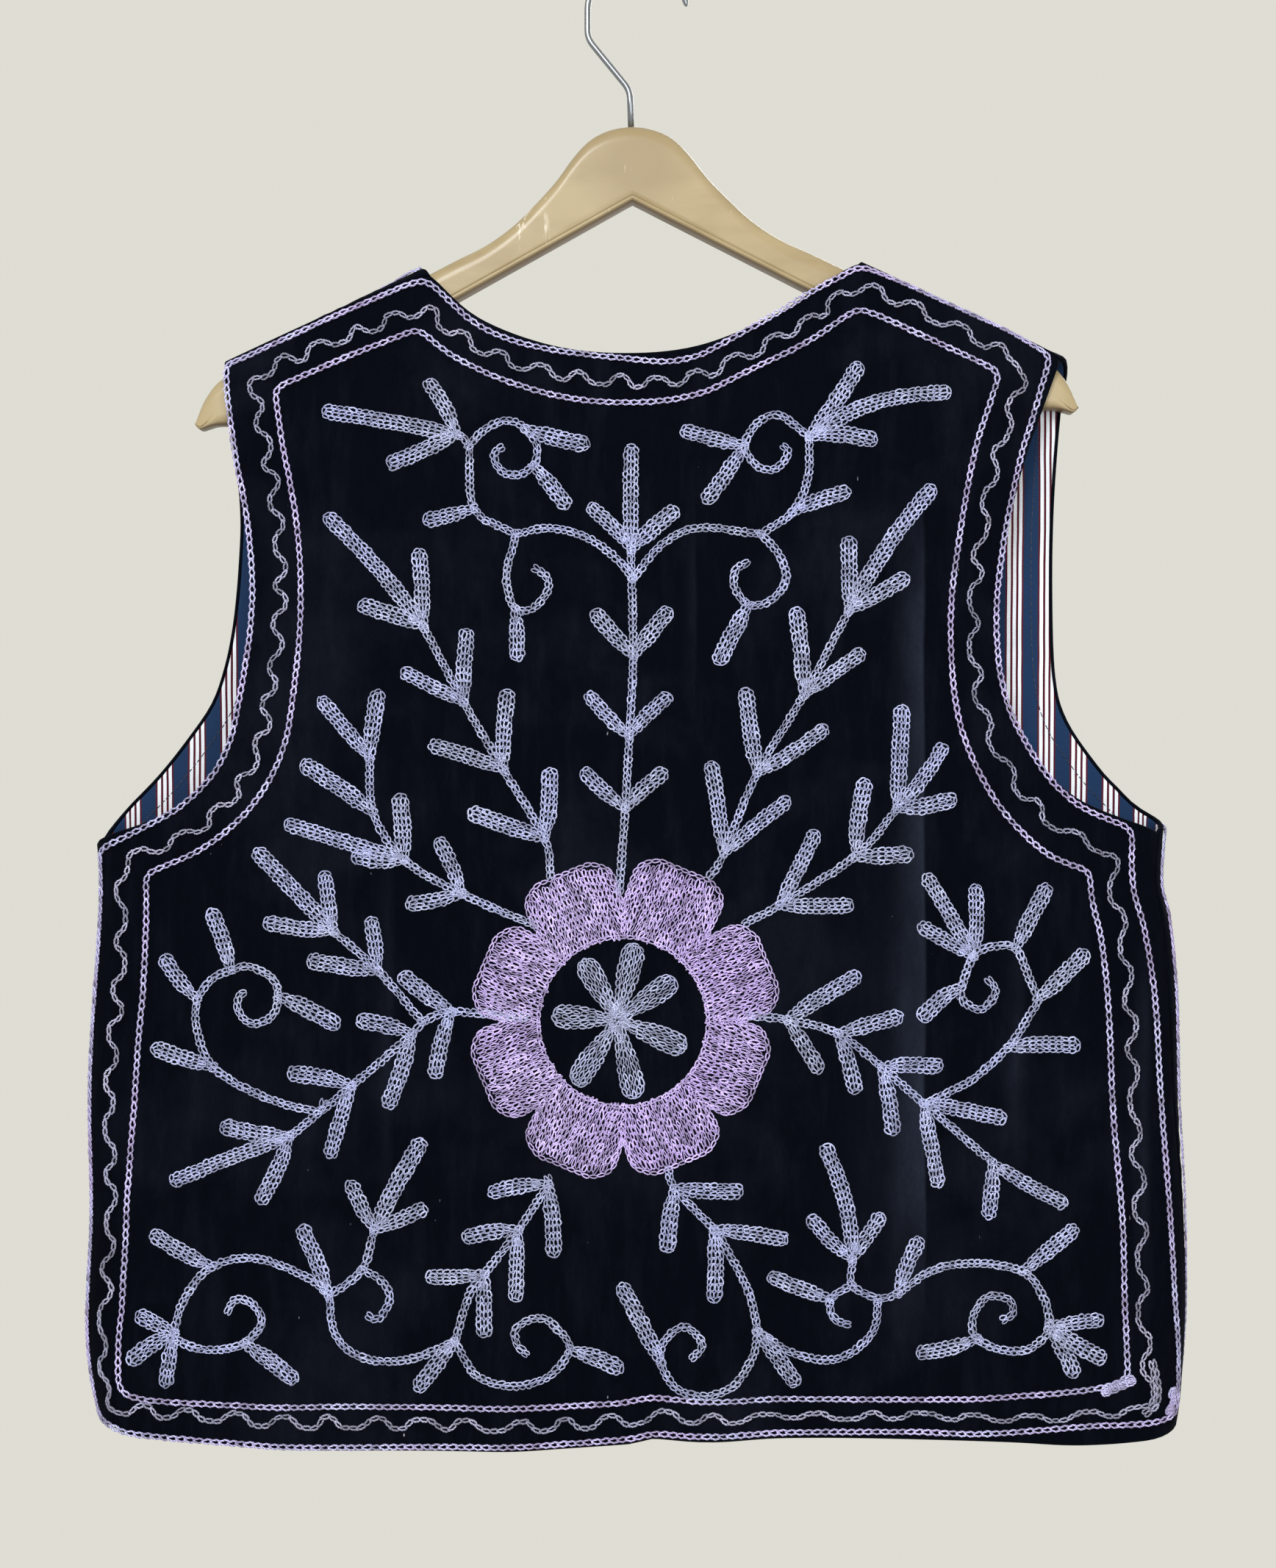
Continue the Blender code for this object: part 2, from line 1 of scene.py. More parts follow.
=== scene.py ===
"""Embroidered folk vest on a moulded hanger: cloth, linings, chain stitch, hanger and hook.

Everything is in metres with +Z up.  The back of the vest faces -Y, the fronts face +Y and -X is
the wearer's left.  Each panel is drawn in pattern coordinates (across, height) and rolled over
the shoulders and round the sides onto the form of its solid.
"""
from collections import namedtuple
from math import ceil, cos, pi, radians, sin, tan

import bmesh
import bpy
import numpy as np
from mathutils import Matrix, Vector
from mathutils.geometry import delaunay_2d_cdt


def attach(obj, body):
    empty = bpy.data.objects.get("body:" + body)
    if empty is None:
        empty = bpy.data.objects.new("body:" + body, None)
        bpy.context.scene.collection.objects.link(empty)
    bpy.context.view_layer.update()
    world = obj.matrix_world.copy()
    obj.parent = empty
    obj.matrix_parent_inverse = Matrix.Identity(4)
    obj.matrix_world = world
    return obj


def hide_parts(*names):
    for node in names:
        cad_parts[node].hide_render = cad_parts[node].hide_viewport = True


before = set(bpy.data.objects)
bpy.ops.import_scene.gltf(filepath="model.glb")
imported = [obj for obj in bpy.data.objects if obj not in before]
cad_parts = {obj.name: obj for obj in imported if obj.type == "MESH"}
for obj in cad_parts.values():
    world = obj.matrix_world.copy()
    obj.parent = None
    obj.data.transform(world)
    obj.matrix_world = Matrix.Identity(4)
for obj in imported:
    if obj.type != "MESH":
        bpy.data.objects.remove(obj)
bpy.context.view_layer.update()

bl_info = {
    "name": "Embroidered folk vest",
    "version": (1, 0, 0),
    "blender": (4, 5, 0),
    "location": "View3D > Sidebar > Vest",
    "description": "Builds a chain-stitched velvet vest on its hanger",
    "category": "Object",
}

# ---- the form that the cloth hangs in -----------------------------------------------------------
SHOULDER_ROLL = 0.0095
SHOULDER_SLOPE = radians(25.2)
SHOULDER_SEAM = 0.1142
SEAM_GAP = 0.0004
MIDDLE = 0.003


def metres(*rows):
    """A table in metres, from one in tenths of a millimetre."""
    return tuple(tuple(part / 10000 for part in row) for row in rows)


def named_rows(kind, rows):
    """A table with its columns named."""
    return tuple(kind(*row) for row in rows)


HALF_DEPTH = metres(
    (-1400, 95), (-2500, 95), (-3300, 115), (-4500, 145), (-6000, 165), (-7000, 185),
    (-7650, 200),
)
SIDE_LINE_LEFT = metres(
    (-4400, 2758), (-4810, 2745), (-5460, 2786), (-5840, 2800), (-6400, 2788), (-6960, 2808),
    (-7200, 2790), (-7380, 2755), (-7600, 2700),
)
SIDE_LINE_RIGHT = metres(
    (-4400, 2738), (-4720, 2722), (-4900, 2762), (-5280, 2800), (-5840, 2808), (-6400, 2836),
    (-6960, 2842), (-7300, 2822), (-7460, 2804), (-7600, 2770),
)
SIDE_SEAM_LEFT = ((-0.440, 97.0), (-0.760, 97.0))
SIDE_SEAM_RIGHT = (
    (-0.440, 43.0), (-0.528, 35.0), (-0.602, 51.0), (-0.669, 66.0), (-0.760, 86.0),
)
SHOULDER_SEAM_LEFT = (
    (0.000, 18.0), (0.020, 36.0), (0.040, 42.0), (0.060, 47.0), (0.080, 52.0), (0.1142, 54.0),
)
SHOULDER_SEAM_RIGHT = (
    (0.000, 50.0), (0.020, 66.0), (0.038, 98.0), (0.060, 118.0), (0.084, 100.0), (0.098, 62.0),
    (0.1142, 38.0),
)
BACK_ARMHOLE_LEFT = metres(
    (-2072, -2230), (-2034, -2530), (-1999, -2712), (-1966, -2940), (-1951, -3200),
    (-1962, -3439), (-1990, -3640), (-2020, -3820), (-2060, -4000), (-2150, -4170),
    (-2300, -4315), (-2460, -4405),
)
BACK_ARMHOLE_RIGHT = metres(
    (2087, -2335), (2014, -2541), (1953, -2766), (1902, -2990), (1870, -3214), (1861, -3439),
    (1880, -3663), (1946, -3888), (2080, -4113), (2215, -4251), (2370, -4341),
)
BACK_NECKLINE = metres(
    (970, -1664), (709, -1827), (336, -1974), (-37, -2012), (-410, -1973), (-784, -1832),
)
BACK_HEM = metres(
    (-2640, -7478), (-2552, -7508), (-2265, -7542), (-1836, -7584), (-1157, -7588), (-586, -7586),
    (-15, -7556), (101, -7530), (414, -7549), (1030, -7526), (1948, -7546), (2340, -7558),
    (2600, -7540),
)
FRONT_ARMHOLE_LEFT = metres(
    (-2100, -2150), (-2069, -2496), (-2046, -2682), (-2037, -2867), (-2046, -3053),
    (-2061, -3238), (-2085, -3424), (-2125, -3609), (-2192, -3795), (-2319, -3981),
    (-2469, -4168), (-2640, -4345),
)
FRONT_ARMHOLE_RIGHT = metres(
    (2262, -2080), (2227, -2280), (2193, -2737), (2186, -3195), (2204, -3654), (2267, -3884),
    (2424, -4114), (2529, -4229), (2660, -4344),
)
FRONT_EDGE = metres(
    (1035, -1760), (940, -2130), (730, -2630), (420, -3130), (130, -3480), (65, -3740),
    (65, -4700), (85, -6000), (140, -7300), (180, -7500), (300, -7570), (1150, -7580),
    (1850, -7575), (2400, -7545),
)
Fold = namedtuple("Fold", "across top bottom reach rise")
BACK_FOLDS = named_rows(Fold, (
    (0.147, -0.215, -0.690, 0.014, 0.0026), (0.172, -0.300, -0.600, 0.018, -0.0014),
    (0.030, -0.270, -0.390, 0.020, 0.0012), (-0.130, -0.440, -0.620, 0.020, 0.0018),
    (-0.200, -0.580, -0.820, 0.026, -0.0026), (-0.060, -0.620, -0.820, 0.030, 0.0026),
    (0.070, -0.630, -0.820, 0.026, -0.0024), (0.215, -0.600, -0.820, 0.024, 0.0024),
))
FRONT_FOLDS = named_rows(Fold, (
    (-0.150, -0.260, -0.700, 0.018, 0.0024), (-0.085, -0.500, -0.820, 0.026, -0.0034),
    (-0.018, -0.360, -0.820, 0.018, 0.0030), (0.024, -0.560, -0.820, 0.018, -0.0030),
    (0.085, -0.300, -0.560, 0.020, 0.0020), (0.120, -0.580, -0.820, 0.028, 0.0036),
    (0.195, -0.540, -0.820, 0.022, -0.0026),
))
FOLD_FADE = 0.060           # length over which a fold dies away at each end
SIDE_FADE = 0.030           # and over which folds die away towards a rolled edge
# Spacing of the points along a panel's edges: for the velvet, the lining and its stitches, and
# for the lines that chain stitch follows.
VELVET_EDGE_PITCH = 0.0052
LINING_EDGE_PITCH = 0.0062
QUILTING_PITCH = 0.0020
GUIDE_PITCH = 0.0016
BORDER_PITCH = 0.0015       # of the points along a border's line before it is eased
WAVE_PITCH = 0.0012         # and along the middle line before it is made to swing
SPRAY_PITCH = 0.0020        # and along stems, leaves and the rows of the rosette
SEEN_SETBACK = 0.0028       # from the outermost line of a side roll to the edge as it is seen
SHOULDER_SETBACK = 0.0011   # from a shoulder's tip to the end of its edge as it is seen
LINING_SETBACK = 0.0003     # from the velvet's turned edge to the lining's
# Small creases: a line in the pattern from one place to another, how far it reaches, its rise.
Crease = namedtuple("Crease", "start end reach rise")
BACK_CREASES = named_rows(Crease, (
    ((0.147, -0.240), (0.149, -0.680), 0.0030, 0.0007),
    ((0.030, -0.270), (0.031, -0.395), 0.0022, 0.0005),
    ((-0.122, -0.450), (-0.137, -0.600), 0.0030, -0.0006),
    ((-0.141, -0.470), (-0.116, -0.486), 0.0026, 0.0008),
    ((-0.146, -0.484), (-0.123, -0.497), 0.0024, -0.0007),
    ((0.192, -0.470), (0.187, -0.585), 0.0040, 0.0006),
    ((-0.020, -0.700), (0.060, -0.712), 0.0050, -0.0006),
    ((0.085, -0.655), (0.130, -0.640), 0.0040, 0.0006),
))
FRONT_CREASES = named_rows(Crease, (
    ((-0.150, -0.300), (-0.154, -0.640), 0.0032, 0.0007),
    ((-0.060, -0.520), (-0.110, -0.540), 0.0032, -0.0007),
    ((0.125, -0.360), (0.128, -0.640), 0.0032, 0.0008),
    ((0.060, -0.600), (0.105, -0.616), 0.0036, 0.0007),
    ((0.170, -0.470), (0.215, -0.486), 0.0030, -0.0007),
    ((-0.210, -0.500), (-0.235, -0.560), 0.0030, 0.0007),
))

Side = namedtuple("Side", "name sign neck seen line seam shoulder armpit hem arm front_arm")
LEFT = Side("left", -1, (-0.1061, -0.1554), (-0.1051, -0.1579), SIDE_LINE_LEFT,
            SIDE_SEAM_LEFT, SHOULDER_SEAM_LEFT, -0.4530, -0.7460, BACK_ARMHOLE_LEFT,
            FRONT_ARMHOLE_LEFT)
RIGHT = Side("right", 1, (0.1174, -0.1524), (0.1163, -0.1549), SIDE_LINE_RIGHT, SIDE_SEAM_RIGHT,
             SHOULDER_SEAM_RIGHT, -0.4460, -0.7500, BACK_ARMHOLE_RIGHT, FRONT_ARMHOLE_RIGHT)
BACK = -1
FRONT = 1

# ---- the chain-stitched borders -----------------------------------------------------------------
# Distances in from the edge of the back, as seen, at a share of the way along each edge.
Inset = namedtuple("Inset", "at outer wave inner")


def insets(*rows):
    """Insets from shares of the way and distances in tenths of a millimetre."""
    return tuple(Inset(share, *(part / 10000 for part in rest)) for share, *rest in rows)


SHOULDER_INSETS_LEFT = insets(
    (0.0, 58, 190, 285), (0.12, 40, 178, 270), (0.5, 26, 140, 240), (1.0, 22, 120, 225),
)
ARMHOLE_INSETS_LEFT = insets(
    (0.0, 5, 145, 250), (0.2, 8, 170, 255), (0.45, 18, 160, 265), (0.65, 15, 165, 290),
    (0.82, 15, 160, 260), (1.0, 25, 125, 225),
)
SIDE_INSETS_LEFT = insets(
    (0.0, 12, 120, 245), (0.25, 10, 140, 265), (0.45, 10, 120, 250), (0.62, 8, 125, 200),
    (0.80, 6, 108, 198), (1.0, 4, 75, 140),
)
HEM_INSETS = insets(
    (0.0, 16, 110, 200), (0.05, 14, 140, 190), (0.10, 15, 140, 200), (0.22, 22, 148, 228),
    (0.40, 30, 130, 220), (0.70, 37, 116, 200), (0.755, 45, 128, 206), (0.80, 40, 122, 215),
    (0.84, 54, 125, 233), (0.88, 92, 145, 269), (0.92, 105, 165, 288), (0.96, 95, 155, 320),
    (1.0, 85, 150, 325),
)
SIDE_INSETS_RIGHT = insets(
    (0.0, 168, 250, 372), (0.25, 125, 255, 362), (0.45, 98, 235, 345), (0.66, 82, 235, 325),
    (0.78, 66, 232, 325), (0.86, 40, 215, 312), (0.92, 24, 190, 290), (1.0, 14, 165, 262),
)
ARMHOLE_INSETS_RIGHT = insets(
    (0.0, 50, 150, 270), (0.18, 30, 150, 265), (0.36, 8, 125, 235), (0.55, 4, 120, 243),
    (0.72, 6, 155, 290), (0.85, 30, 182, 325), (1.0, 40, 175, 290),
)
SHOULDER_INSETS_RIGHT = insets(
    (0.0, 20, 115, 225), (0.22, 4, 95, 208), (0.75, -6, 102, 205), (1.0, 30, 130, 242),
)
NECK_INSETS = insets(
    (0.0, 25, 103, 208), (0.08, 12, 105, 204), (0.15, 1, 122, 207), (0.21, 1, 118, 205),
    (0.28, 15, 125, 203), (0.345, 36, 138, 220), (0.385, 58, 153, 243), (0.45, 60, 163, 256),
    (0.535, 30, 148, 258), (0.63, 20, 140, 254), (0.72, 33, 138, 245), (0.81, 40, 136, 238),
    (0.905, 32, 138, 240), (0.96, 40, 150, 250), (1.0, 62, 160, 262),
)
FRONT_INSETS = insets(
    (0.0, 27, 140, 245), (1.0, 27, 140, 245),
)
# The wavy line's links, as shares of the border's.
WAVE_LINK_LENGTH = 0.94
WAVE_LINK_WIDTH = 0.86
# Where the wave of the middle line is longer or lower than elsewhere.
WaveZone = namedtuple("WaveZone", "left right low high longer rise")
WAVE_ZONES = (
    WaveZone(0.145, 0.30, -0.440, 0.0, 1.22, 1.0), WaveZone(-0.30, 0.0, -0.80, -0.440, 1.16, 1.0),
    WaveZone(0.0, 0.30, -0.80, -0.440, 1.30, 1.0), WaveZone(0.06, 0.25, -0.80, -0.720, 1.30, 0.55),
)
# Short runs of the back's lines that are worked over again, as seen: the rows' distances from
# the run, and the run's own places.
MENDS = {
    "inner": ((-0.0012, 0.0000, 0.0012),
              ((0.2392, -0.7282), (0.2455, -0.7258), (0.2515, -0.7233))),
    "wave": ((-0.0009, 0.0010),
             ((0.2632, -0.7150), (0.2651, -0.7255), (0.2646, -0.7340), (0.2604, -0.7388))),
    "outer": ((-0.0010, 0.0000, 0.0010),
              ((0.2738, -0.7300), (0.2734, -0.7340), (0.2722, -0.7385))),
}
FRONT_SHOULDER_INSETS = insets(
    (0.0, 30, 210, 310), (0.15, 110, 210, 310), (1.0, 110, 210, 310),
)
FRONT_SIDE_INSETS = insets(
    (0.0, 150, 260, 360), (1.0, 60, 170, 275),
)

# ---- the sprays, in whole millimetres from the middle of the rosette ----------------------------
ROSETTE_MIDDLE = (-0.0045, -0.5422)
FRONT_SPRAY_FOOT = (MIDDLE, -0.757)
# A stem through its corners, and its leaves: the corner that a leaf grows from, the direction it
# points in degrees, anticlockwise from level, its length and how far it bows to its left.
Leaf = namedtuple("Leaf", "corner heading length bow", defaults=(0.0,))
Spray = namedtuple("Spray", "stem leaves")


def spray(stem, *leaves):
    """A stem and its leaves."""
    return Spray(stem, tuple(Leaf(*leaf) for leaf in leaves))


SPRAYS_MIDDLE = (
    spray(((-2, 66), (1, 108), (3, 145), (5, 186), (4, 240)),
          (4, 90, 53), (4, 133, 31), (4, 42, 31), (3, 132, 30), (3, 52, 30), (2, 135, 30),
          (2, 46, 29), (1, 138, 29), (1, 44, 28)),
    spray(((5, 225), (-3, 235), (-18, 246), (-37, 251), (-55, 248))),
    spray(((5, 225), (19, 242), (38, 251), (70, 248))),
    spray(((-55, 248), (-76, 261), (-79, 293), (-85, 299)),
          (3, 170, 69), (3, 118, 31), (3, 204, 38), (1, 194, 26)),
    spray(((-79, 293), (-70, 302), (-59, 306), (-50, 302), (-44, 293), (-46, 283), (-55, 278),
           (-63, 281), (-66, 289), (-61, 293)), (3, 345, 33, -2), (5, 310, 27)),
    spray(((-55, 246), (-59, 231), (-59, 220), (-55, 210), (-46, 210), (-38, 220), (-40, 227),
           (-46, 231)), (3, 272, 26)),
    spray(((70, 248), (86, 259), (94, 276), (95, 298)),
          (3, 55, 45), (3, 18, 75, 6), (3, 357, 34, 2), (1, 21, 31)),
    spray(((95, 298), (79, 309), (68, 304), (62, 293), (68, 283), (77, 281), (84, 289),
           (81, 294)), (3, 166, 33), (3, 235, 35)),
    spray(((70, 248), (79, 238), (83, 225), (75, 214), (64, 212), (57, 220), (57, 229),
           (64, 234)), (4, 242, 34)),
)
SPRAYS_LEFT = (
    spray(((-37, 74), (-40, 93), (-61, 128), (-81, 162), (-102, 201)),
          (1, 161, 40), (1, 85, 35), (2, 161, 39), (2, 87, 40), (3, 153, 35), (3, 88, 37),
          (4, 161, 34), (4, 93, 39), (4, 131, 75, -1)),
    spray(((-45, 49), (-82, 65), (-111, 82), (-127, 106), (-129, 134)),
          (1, 113, 30), (1, 192, 28), (2, 94, 33), (2, 176, 26), (2, 163, 63), (3, 145, 44),
          (4, 130, 39), (4, 83, 34)),
    spray(((-50, 2), (-87, 5), (-102, 0)), (1, 144, 32), (1, 255, 34)),
    spray(((-102, 0), (-124, 26), (-147, 46)),
          (1, 98, 27), (1, 172, 36), (2, 99, 30), (2, 173, 35), (2, 134, 57)),
    spray(((-102, 0), (-107, -6), (-137, -32), (-169, -58)),
          (1, 165, 28), (1, 252, 39), (2, 169, 33), (2, 252, 38), (3, 172, 35), (3, 246, 37),
          (3, 201, 64)),
    spray(((-152, -41), (-156, -45), (-182, -38), (-208, -23), (-216, -4), (-216, 11),
           (-208, 22), (-199, 26), (-190, 28), (-178, 22), (-175, 13), (-178, 3), (-188, -1),
           (-195, 5), (-195, 13), (-191, 15)),
          (3, 162, 32), (5, 129, 28), (7, 108, 32), (10, 334, 34)),
)
SPRAYS_RIGHT = (
    spray(((44, 74), (51, 85), (68, 126), (92, 166), (115, 209)),
          (1, 98, 47), (1, 40, 43), (2, 98, 43), (2, 33, 42), (3, 95, 44), (3, 36, 37),
          (4, 90, 37), (4, 30, 34), (4, 56, 76, 1)),
    spray(((62, 50), (79, 59), (118, 84), (139, 108)),
          (1, 63, 42), (1, 0, 37), (2, 83, 39), (2, 2, 28), (3, 87, 52), (3, 53, 40),
          (3, 9, 30)),
    spray(((64, 3), (83, 1), (109, -6), (131, -23), (152, -41), (187, -71)),
          (1, 32, 43), (1, 303, 31), (2, 16, 33), (2, 287, 31), (3, 2, 30), (3, 280, 34),
          (4, 349, 42), (4, 280, 42), (5, 330, 42), (5, 266, 28)),
    spray(((152, -41), (176, -30), (195, -13), (206, 3), (210, 11), (206, 22), (199, 37),
           (187, 38), (178, 33), (172, 18), (172, 11), (182, 6), (189, 15), (185, 22)),
          (2, 2, 36), (4, 44, 35), (6, 63, 36), (8, 121, 48), (8, 88, 36), (8, 150, 32),
          (9, 216, 27)),
)
SPRAYS_LOWER = (
    spray(((-38, -79), (-38, -82), (-53, -105), (-70, -127), (-78, -138), (-85, -161)),
          (1, 188, 30), (1, 275, 36), (2, 188, 28), (2, 268, 35), (3, 184, 29), (3, 270, 31),
          (5, 232, 31)),
    spray(((-85, -161), (-74, -178), (-55, -183), (-37, -178), (-27, -165), (-33, -155),
           (-42, -149), (-53, -153), (-54, -161), (-48, -168)), (4, 339, 28)),
    spray(((-85, -161), (-107, -170), (-130, -170), (-145, -159), (-149, -138)),
          (4, 112, 37)),
    spray(((-149, -138), (-147, -137), (-132, -125), (-126, -105)),
          (3, 118, 27), (3, 62, 51, 2), (3, 23, 28)),
    spray(((-132, -125), (-122, -131), (-118, -140), (-124, -150), (-130, -148))),
    spray(((-149, -138), (-160, -129), (-186, -120), (-208, -124), (-221, -138), (-227, -157),
           (-219, -164), (-206, -166), (-192, -163), (-183, -152), (-188, -143), (-197, -141),
           (-201, -148)),
          (3, 151, 35), (5, 154, 21), (5, 212, 27), (5, 260, 27), (8, 326, 32)),
    spray(((23, -75), (26, -84), (46, -105), (53, -116), (64, -138), (68, -157)),
          (1, 357, 34), (1, 263, 32), (2, 352, 37), (2, 270, 36), (5, 307, 33)),
    spray(((68, -157), (66, -168), (57, -183), (42, -189), (27, -185), (19, -172), (21, -161),
           (31, -154), (40, -163), (34, -171)), (5, 117, 44)),
    spray(((68, -157), (87, -168), (109, -170), (126, -157), (129, -140))),
    spray(((129, -140), (116, -133), (116, -120)), (2, 136, 30), (2, 103, 59, -4), (2, 57, 27)),
    spray(((116, -133), (105, -140), (107, -150), (115, -153)), (1, 160, 33)),
    spray(((129, -140), (139, -137), (157, -125), (180, -122), (202, -126), (212, -138),
           (215, -153), (208, -163), (195, -166), (179, -160), (177, -149), (184, -139),
           (195, -140), (197, -147), (191, -151)),
          (1, 69, 30), (4, 40, 35), (6, 6, 27), (6, 328, 33), (6, 298, 28), (9, 194, 31)),
)
# One front's own spray, in whole millimetres out from the middle line and up from the hem.
SPRAYS_FRONT = (
    spray(((78, 44), (84, 84), (104, 130), (122, 180), (132, 236), (142, 300)),
          (1, 150, 34), (1, 60, 36), (2, 148, 38), (2, 55, 40), (3, 140, 38), (3, 50, 42),
          (4, 128, 36), (4, 48, 40), (5, 128, 34), (5, 84, 44), (5, 50, 36)),
    spray(((78, 44), (100, 34), (132, 34), (160, 44), (176, 66), (174, 92), (156, 106),
           (138, 98), (134, 82), (146, 74), (154, 80)),
          (3, 330, 30), (4, 20, 34), (5, 50, 32), (6, 100, 32), (7, 200, 28)),
    spray(((78, 44), (62, 60), (52, 86), (60, 108), (74, 108), (76, 94), (66, 92)),
          (2, 150, 26), (3, 118, 28)),
    spray(((122, 180), (152, 188), (178, 206), (188, 232), (178, 254), (162, 252), (160, 236),
           (170, 232)), (1, 340, 32), (2, 20, 30), (3, 60, 34), (4, 100, 28)),
    spray(((132, 236), (112, 246), (96, 268), (88, 296), (92, 316)),
          (1, 200, 26), (2, 160, 32), (3, 150, 34), (4, 118, 34), (4, 70, 32)),
)

# ---- the hanger ---------------------------------------------------------------------------------
HANGER_TOP = Vector((-0.0006, 0.0, -0.0832))
# Where painted shade darkens its crown, and where its left arm is rubbed.
HANGER_PAINTED_SHADE = (0.0030, -0.0060, -0.1040)
HANGER_RUBBED = (-0.0530, -0.0060, -0.1380)
HANGER_TILT = radians(1.1)
HANGER_HALF_SPAN = 0.2268
HANGER_HALF_THICKNESS = 0.0060
HANGER_UNDER_DROP = 0.0390
HANGER_UNDER_SLOPE = radians(28.15)
HANGER_CROWN = 0.0085
HANGER_UPPER_EDGE = metres(
    (0, 0), (76, 9), (151, 32), (227, 78), (303, 158), (379, 260), (455, 345), (606, 492),
    (757, 597), (909, 670), (1218, 824), (1624, 1018), (2030, 1208), (2111, 1248), (2160, 1285),
    (2195, 1327), (2225, 1374), (2250, 1432), (2263, 1470), (2268, 1484),
)
# Height of the facet along the lower edge of each face.
HANGER_FACET = ((0.185, 0.0012), (0.203, 0.0050), (0.2115, 0.0047), (0.2165, 0.0026),
                (0.2205, 0.0010), (0.2268, 0.0003))
# The underside near a tip, as its distance from the middle and its drop, where it leaves the
# straight line and turns up.
HANGER_UNDER_TIP = metres(
    (2050, 1487), (2081, 1498), (2168, 1500), (2205, 1509), (2240, 1519), (2258, 1510),
    (2268, 1495),
)
HANGER_TIP_REACH = 0.022
HANGER_END = 0.012          # length of each end with its rings drawn closer together
WIRE_RADIUS = 0.0016
BOW_REACH_LEFT = 0.0230     # from under its top to the middle of the wire
BOW_REACH_RIGHT = 0.0280
BOW_RISE = 0.0250           # from its widest place to the middle of the wire at its top
BOW_END_ANGLE = radians(6)
WIRE_FOOT_GAP = 0.0003
WIRE_BEND = 0.0045
WIRE_SHANK_TOP = Vector((-0.0012, 0.0, -0.0643))    # where the shank turns off to the left
WIRE_OFFSET_TOP = -0.0376                           # height where it turns up again

# ---- settings -----------------------------------------------------------------------------------
def length(name, description, default, low=0.0, high=1.0):
    """A length that the user may change."""
    return bpy.props.FloatProperty(name=name, description=description, default=default, min=low,
                                   max=high, unit="LENGTH", precision=5)


def colour(name, description, default):
    """A colour that the user may change, in linear red, green and blue."""
    return bpy.props.FloatVectorProperty(name=name, description=description, default=default,
                                         subtype="COLOR", size=3, min=0.0, max=1.0)


class VEST_PG_cloth(bpy.types.PropertyGroup):
    """Sizes and colours of the velvet and the linings."""

    velvet_wall: length("Velvet wall", "Thickness of the velvet with its interlining", 0.0016)
    ply_gap: length("Ply gap", "Room between the velvet and the lining", 0.0003)
    lining_wall: length("Lining wall", "Thickness of the striped lining", 0.0010)
    edge_turn: length("Edge turning", "Width of velvet that shows inside each edge", 0.0016)
    mesh_pitch: length("Mesh pitch", "Spacing of the velvet's mesh points", 0.0074, 0.003)
    lining_pitch: length("Lining pitch", "Spacing of the linings' mesh points", 0.0100, 0.004)
    velvet: colour("Velvet", "Deep navy pile seen from above", (0.0008, 0.0014, 0.0034))
    # The lighter pile colour also serves as painted sheen along the creases.
    nap_and_sheen: colour("Brushed nap", "Pile that leans towards the light", (0.0125, 0.0155, 0.0270))
    stripe_navy: colour("Navy stripe", "Ground of the lining", (0.0064, 0.0240, 0.0710))
    stripe_white: colour("White stripe", "Pale stripes of the lining", (0.660, 0.700, 0.760))
    stripe_red: colour("Red stripe", "Thin dark stripes of the lining", (0.065, 0.006, 0.014))
    stripe_period: length("Stripe repeat", "Width of one repeat of the stripes", 0.0169, 0.004)


class VEST_PG_stitches(bpy.types.PropertyGroup):
    """Sizes and colours of the chain stitch."""

    border_link: length("Border stitch", "Length of one link of a border", 0.0043, 0.002)
    border_width: length("Border stitch width", "Width of one link of a border", 0.0036, 0.001)
    fill_link: length("Filling stitch", "Length of one link of a filling", 0.0038, 0.002)
    fill_width: length("Filling stitch width", "Width of one link of a filling", 0.0030, 0.001)
    strand: length("Strand", "Thickness of the yarn", 0.0011, 0.0003)
    leaf_width: length("Leaf width", "Distance between a leaf's outer rows", 0.0060)
    stem_width: length("Stem width", "Distance between a stem's two rows", 0.0020)
    wave_rise: length("Wave rise", "Swing of the wavy chain to each side", 0.0030)
    wave_period: length("Wave length", "Length of one wave", 0.0205, 0.005)
    row_gap: length("Row spacing", "Spacing of the rows that fill a petal", 0.0020, 0.001)
    border_yarn: colour("Border yarn", "Pink lilac yarn", (0.445, 0.355, 0.650))
    border_second: colour("Border yarn, cool", "Its cooler stretches", (0.400, 0.405, 0.650))
    wave_yarn: colour("Wave yarn", "Grey lavender yarn", (0.225, 0.240, 0.365))
    wave_second: colour("Wave yarn, light", "Its paler stretches", (0.310, 0.310, 0.440))
    leaf_yarn: colour("Leaf yarn", "Blue lavender yarn", (0.505, 0.547, 0.885))
    leaf_second: colour("Leaf yarn, grey", "Its greyer stretches", (0.475, 0.508, 0.730))
    rosette_yarn: colour("Rosette yarn", "Violet lilac yarn", (0.655, 0.490, 0.985))
    rosette_second: colour("Rosette yarn, pink", "Its pinker stretches", (0.700, 0.570, 1.000))


